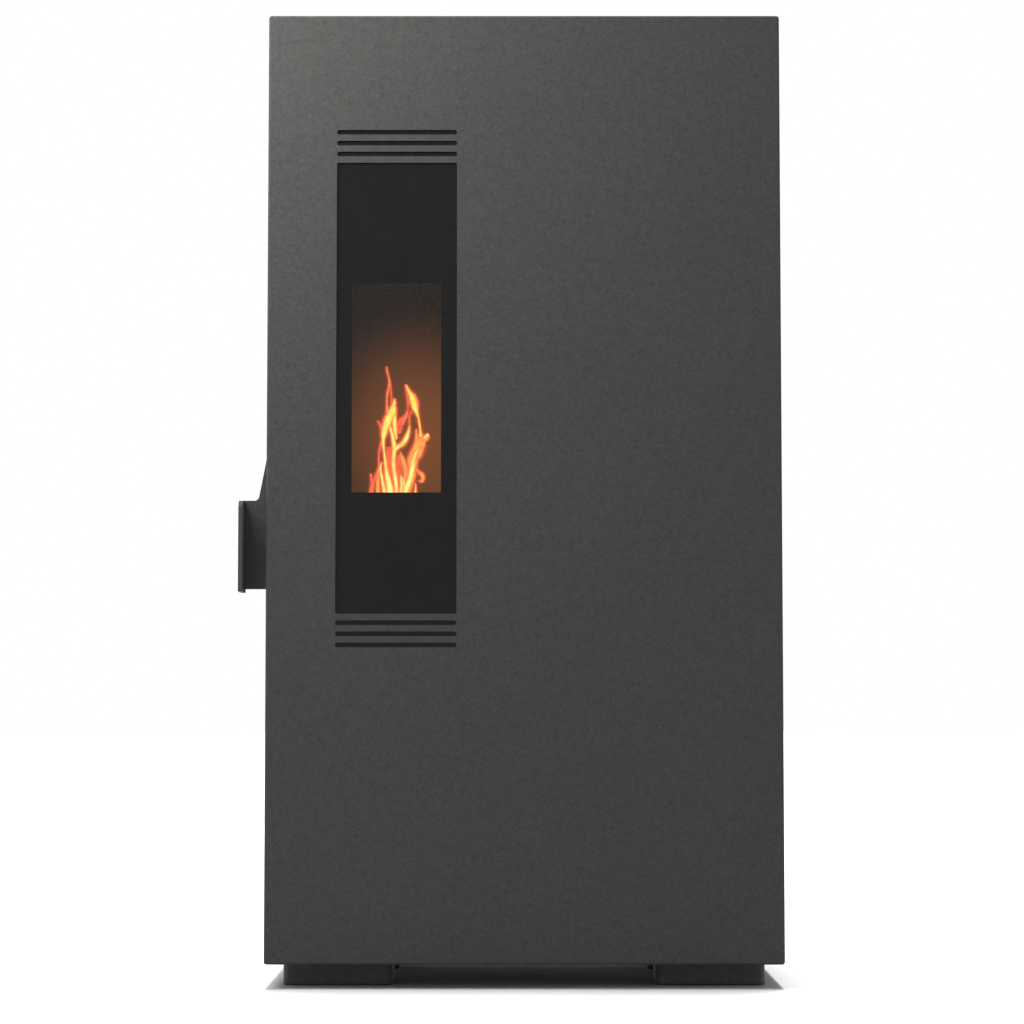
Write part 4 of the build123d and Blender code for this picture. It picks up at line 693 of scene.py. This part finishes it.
def makeTongue(flame, shell):
    # A tapering tube along the path, flattened from front to back
    path = flame["path"]
    sideways, height, half = path[0]
    if height < tongue["rootedBelow"]:
        path = [(sideways, tongue["rootHeight"], half)] + path  # it grows out of the pot
    curve = bpy.data.curves.new("tongue", "CURVE")
    curve.dimensions = "3D"
    curve.bevel_depth = 1.0
    curve.bevel_resolution = tongue["sideSteps"]
    curve.resolution_u = tongue["lengthSteps"]
    curve.use_fill_caps = True
    spline = curve.splines.new("NURBS")
    spline.points.add(len(path) - 1)
    for point, (sideways, height, half) in zip(spline.points, path):
        point.co = (sideways / 1000, 0, height / 1000, 1)
        point.radius = max(half / 1000 * shell["grow"] + shell["extra"], tongue["thinnest"])
    spline.order_u = 3
    spline.use_endpoint_u = True
    holder = bpy.data.objects.new("tongue", curve)
    bpy.context.scene.collection.objects.link(holder)
    bpy.context.view_layer.update()
    mesh = bpy.data.meshes.new_from_object(holder.evaluated_get(bpy.context.evaluated_depsgraph_get()))
    bpy.data.objects.remove(holder)
    bpy.data.curves.remove(curve)
    place = Matrix.Translation((potMiddle.x, potMiddle.y + flame["depth"] / 1000, potHigh.z))
    mesh.transform(place @ Matrix.Diagonal((1, tongue["flatness"], 1, 1)))
    return mesh


def makeFlameMaterial(name, shell):
    # The colour changes from the bed to the tips, and the glow comes in wisps
    material, tree, shader = startMaterial(name)
    place = objectPlace(tree)
    noise = addMath(tree, "SUBTRACT", addNoise(tree, place, flicker["lickScale"], 3.0), 0.5)
    lick = addMath(tree, "MULTIPLY", noise, flicker["lick"])
    height = addMath(tree, "ADD", objectAxes(tree)["Z"], lick)
    share = addRange(tree, height, potHigh.z, potHigh.z + flicker["reach"])
    thin, thick = (shell["alpha"] * part for part in flicker["wisps"])
    wisp = addNoise(tree, place, flicker["wispScale"])
    fillInputs(tree, shader, {
        "Base Color": (0.0, 0.0, 0.0, 1.0),
        "Roughness": 1.0,
        "Specular IOR Level": 0.0,
        "Emission Color": addBlend(tree, share, shell["low"], shell["high"]),
        "Emission Strength": shell["strength"],
        "Alpha": addRange(tree, wisp, *flicker["wispSpread"], thin, thick),
    })
    return material


def makeFlames():
    for number, (name, shell) in enumerate(flameShells.items()):
        shape = bmesh.new()
        for flame in flames:
            if flame["shells"] > number:
                mesh = makeTongue(flame, shell)
                shape.from_mesh(mesh)
                bpy.data.meshes.remove(mesh)
        bmesh.ops.remove_doubles(shape, verts=shape.verts, dist=tongue["weld"])
        bmesh.ops.recalc_face_normals(shape, faces=shape.faces)
        makePiece(shape, name, "burn_pot", makeFlameMaterial(name, shell), smooth=True)


makeFlames()
print("flames made")


symbols = {
    "raise": 0.00012,
    "size": 0.0034,
    "line": 0.0007,
    "ink": (0.55, 0.55, 0.54),
    "shadow": 0.75,
    "grain": {"scale": 2200.0, "depth": 0.0, "mottle": 0.2},
    "ringSteps": 24,
    "ringHole": 0.62,
    "ringGapFrom": 0.42,
    "strokePlace": 0.3,
    "strokeLength": 0.5,
}


def makeSymbolMaterial(name, colour, strength):
    material, tree, shader = startMaterial(name)
    grain = addGrain(tree, **symbols["grain"])
    darker = tuple(symbols["shadow"] * part for part in colour)
    shaded = addBlend(tree, grain["Shade"], darker + (1.0,), colour + (1.0,))
    fillInputs(tree, shader, {
        "Base Color": shaded,
        "Emission Color": shaded,
        "Emission Strength": strength,
        "Roughness": 0.5,
    })
    return material


def addBar(shape, x, y, z, width, depth):
    # A flat bar lying on a face at height z
    place = Matrix.Translation((x, y, z + symbols["raise"] / 2))
    size = Matrix.Diagonal((width, depth, symbols["raise"], 1.0))
    bmesh.ops.create_cube(shape, size=1.0, matrix=place @ size)


def addMenuSign(shape, x, y, z):
    for row in (-1, 0, 1):
        addBar(shape, x, y + row * 2 * symbols["line"], z, symbols["size"], symbols["line"])


def addArrow(shape, x, y, z, turn):
    place = Matrix.Translation((x, y, z + symbols["raise"] / 2)) @ Matrix.Rotation(turn, 4, "Z")
    half = symbols["size"] / 2
    size = {"radius1": half, "radius2": half, "depth": symbols["raise"]}
    bmesh.ops.create_cone(shape, cap_ends=True, segments=3, matrix=place, **size)


def addPowerSign(shape, x, y, z):
    # A ring open at its top, with a stroke in the gap
    size = symbols["size"]
    place = Matrix.Translation((x, y, z))
    bmesh.ops.create_circle(shape, segments=symbols["ringSteps"], radius=size / 2, matrix=place)
    gap = [vert for vert in shape.verts if vert.co.y > y + size * symbols["ringGapFrom"]]
    bmesh.ops.delete(shape, geom=gap, context="VERTS")
    band = bmesh.ops.extrude_edge_only(shape, edges=shape.edges[:])
    shrink = Matrix.Diagonal((symbols["ringHole"], symbols["ringHole"], 1, 1))
    bmesh.ops.transform(shape, matrix=place @ shrink @ place.inverted(), verts=pickVerts(band))
    raised = bmesh.ops.extrude_face_region(shape, geom=shape.faces[:])
    bmesh.ops.translate(shape, verts=pickVerts(raised), vec=(0, 0, symbols["raise"]))
    stroke = (symbols["line"], size * symbols["strokeLength"])
    addBar(shape, x, y + size * symbols["strokePlace"], z, *stroke)


def makeSymbols():
    ink = makeSymbolMaterial("symbolInk", symbols["ink"], 0.0)
    for name in ("power", "menu", "down", "up"):
        low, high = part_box("button_" + name)
        place = ((low.x + high.x) / 2, (low.y + high.y) / 2, high.z)
        shape = bmesh.new()
        if name == "power":
            addPowerSign(shape, *place)
        elif name == "menu":
            addMenuSign(shape, *place)
        else:
            addArrow(shape, *place, math.radians(180 if name == "down" else 0))
        bmesh.ops.recalc_face_normals(shape, faces=shape.faces)
        makePiece(shape, "symbol_" + name, "button_" + name, ink)


display = {"bars": 5, "pitch": 0.0062, "width": 0.0034, "first": 0.003, "step": 0.0022,
           "colour": (1.0, 0.3, 0.06), "strength": 0.9}


def makeDisplayLevel():
    # A row of lit bars, each longer than the last
    low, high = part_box("display_window")
    middle = (low + high) / 2
    shape = bmesh.new()
    for index in range(display["bars"]):
        x = middle.x + (index - (display["bars"] - 1) / 2) * display["pitch"]
        addBar(shape, x, middle.y, high.z, display["width"], display["first"] + display["step"] * index)
    lit = makeSymbolMaterial("displayGlow", display["colour"], display["strength"])
    makePiece(shape, "display_level", "stove", lit)


makeSymbols()
makeDisplayLevel()
print("button symbols and display level made")


embers = {
    "count": 170,
    "radius": 0.003,
    "length": 0.012,
    "lengths": (0.7, 1.2),
    "sides": 8,
    "spread": (0.038, 0.033),
    "layers": (0.4, 0.876),  # shares of the pot's depth
    "lean": (1.1, 1.9),  # radians from upright
    "seed": 7,
    "charScale": 260.0,
    "char": (grey(0.02), (0.16, 0.11, 0.08, 1.0)),
    "glowScale": 70.0,
    "glowSpread": (0.42, 0.62),
    "glow": ((0.12, 0.008, 0.001, 1.0), (1.0, 0.32, 0.05, 1.0)),
    "strength": 1.4,
}


def makeEmberMaterial():
    material, tree, shader = startMaterial("emberCoal")
    place = objectPlace(tree)
    char = addNoise(tree, place, embers["charScale"], 3.0)
    glow = addRange(tree, addNoise(tree, place, embers["glowScale"]), *embers["glowSpread"])
    fillInputs(tree, shader, {
        "Base Color": addBlend(tree, char, *embers["char"]),
        "Emission Color": addBlend(tree, glow, *embers["glow"]),
        "Emission Strength": embers["strength"],
        "Roughness": 0.9,
    })
    return material


def makeEmbers():
    # The bed of burning pellets in the pot, filled from below
    rng = random.Random(embers["seed"])
    shape = bmesh.new()
    lowest, highest = (potLow.z + (potHigh.z - potLow.z) * share for share in embers["layers"])
    for index in range(embers["count"]):
        sideways, deep = (rng.uniform(-1, 1) * reach for reach in embers["spread"])
        level = lowest + (highest - lowest) * math.sqrt(index / embers["count"])
        place = Matrix.Translation((potMiddle.x + sideways, potMiddle.y + deep, level))
        turn = Matrix.Rotation(rng.uniform(0, math.tau), 4, "Z")
        lean = Matrix.Rotation(rng.uniform(*embers["lean"]), 4, "X")
        length = embers["length"] * rng.uniform(*embers["lengths"])
        size = {"radius1": embers["radius"], "radius2": embers["radius"], "depth": length}
        matrix = place @ turn @ lean
        bmesh.ops.create_cone(shape, cap_ends=True, segments=embers["sides"], matrix=matrix, **size)
    makePiece(shape, "ember_bed", "burn_pot", makeEmberMaterial())


makeEmbers()
print("ember bed made")


# Floor, light and camera

# "lit" is what lights the stove, and "seen" is what the camera sees
floorSheet = {"size": 60.0, "lit": grey(0.15), "seen": grey(0.75)}
worldLight = {"lit": 0.45, "seen": 1.0}


def makeFloor():
    material, tree, shader = startMaterial("paleFloor")
    fillInputs(tree, shader, {
        "Base Color": addBlend(tree, addSeenShare(tree), floorSheet["lit"], floorSheet["seen"]),
        "Roughness": 1.0,
        "Specular IOR Level": 0.0,
    })
    shape = bmesh.new()
    bmesh.ops.create_grid(shape, x_segments=1, y_segments=1, size=floorSheet["size"] / 2)
    makeObject(shape, "floor", material)


def makeWorld():
    world = bpy.data.worlds.new("studio")
    bpy.context.scene.world = world
    world.use_nodes = True
    tree = world.node_tree
    fillInputs(tree, tree.nodes["Background"], {
        "Color": (1.0, 1.0, 1.0, 1.0),
        "Strength": addRange(tree, addSeenShare(tree), 0.0, 1.0, worldLight["lit"], worldLight["seen"]),
    })


lamps = {
    "cornerLamp": {"place": (-0.8, -0.76, 1.5), "aim": (-0.8, 0.0, 1.5), "size": (0.7, 0.8), "power": 35.5},
    "rightLamp": {"place": (3.4, 0.0, 0.5), "aim": (0.0, 0.0, 0.5), "size": (2.0, 0.6), "power": 8.0},
    "leftLamp": {"place": (-3.4, 0.0, 0.5), "aim": (0.0, 0.0, 0.5), "size": (2.0, 0.6), "power": 8.0},
    "backLamp": {"place": (0.0, 4.0, 0.5), "aim": (0.0, 0.0, 0.5), "size": (2.5, 0.6), "power": 14.0},
}
sunLamp = {"strength": 5.2, "angle": 13.0, "tilt": -4.0}  # from just behind overhead, whitens the floor


def makeAreaLamp(name, values):
    light = bpy.data.lights.new(name, "AREA")
    light.shape = "RECTANGLE"
    light.size, light.size_y = values["size"]
    light.energy = values["power"]
    lamp = bpy.data.objects.new(name, light)
    lamp.location = values["place"]
    aim = Vector(values["aim"]) - Vector(values["place"])
    lamp.rotation_mode = "QUATERNION"
    lamp.rotation_quaternion = aim.to_track_quat("-Z", "Y")
    lamp.visible_camera = False
    lamp.visible_glossy = False
    lamp.visible_transmission = False
    bpy.context.scene.collection.objects.link(lamp)


def makeSun():
    light = bpy.data.lights.new("sunLamp", "SUN")
    light.energy = sunLamp["strength"]
    light.angle = math.radians(sunLamp["angle"])
    sun = bpy.data.objects.new("sunLamp", light)
    sun.rotation_euler = (math.radians(sunLamp["tilt"]), 0.0, 0.0)
    sun.visible_glossy = False
    bpy.context.scene.collection.objects.link(sun)


photoCamera = {
    "lens": 99.24,
    "sensor": 36.0,
    "sideways": -0.013,  # from the stove's middle
    "distance": 3.0,  # before the door
    "height": 0.2983,
    "tiltUp": 3.929,
}


def makeCamera():
    view = bpy.data.cameras.new("photoCamera")
    view.lens = photoCamera["lens"]
    view.sensor_width = photoCamera["sensor"]
    camera = bpy.data.objects.new("photoCamera", view)
    camera.location.x = stoveMiddle + photoCamera["sideways"]
    camera.location.y = doorFace - photoCamera["distance"]
    camera.location.z = photoCamera["height"]
    camera.rotation_euler = (math.radians(90 + photoCamera["tiltUp"]), 0, 0)
    bpy.context.scene.collection.objects.link(camera)
    bpy.context.scene.camera = camera


makeFloor()
makeWorld()
for name, values in lamps.items():
    makeAreaLamp(name, values)
makeSun()
makeCamera()
bpy.context.scene.view_settings.view_transform = "Standard"
print("floor, light and camera set")
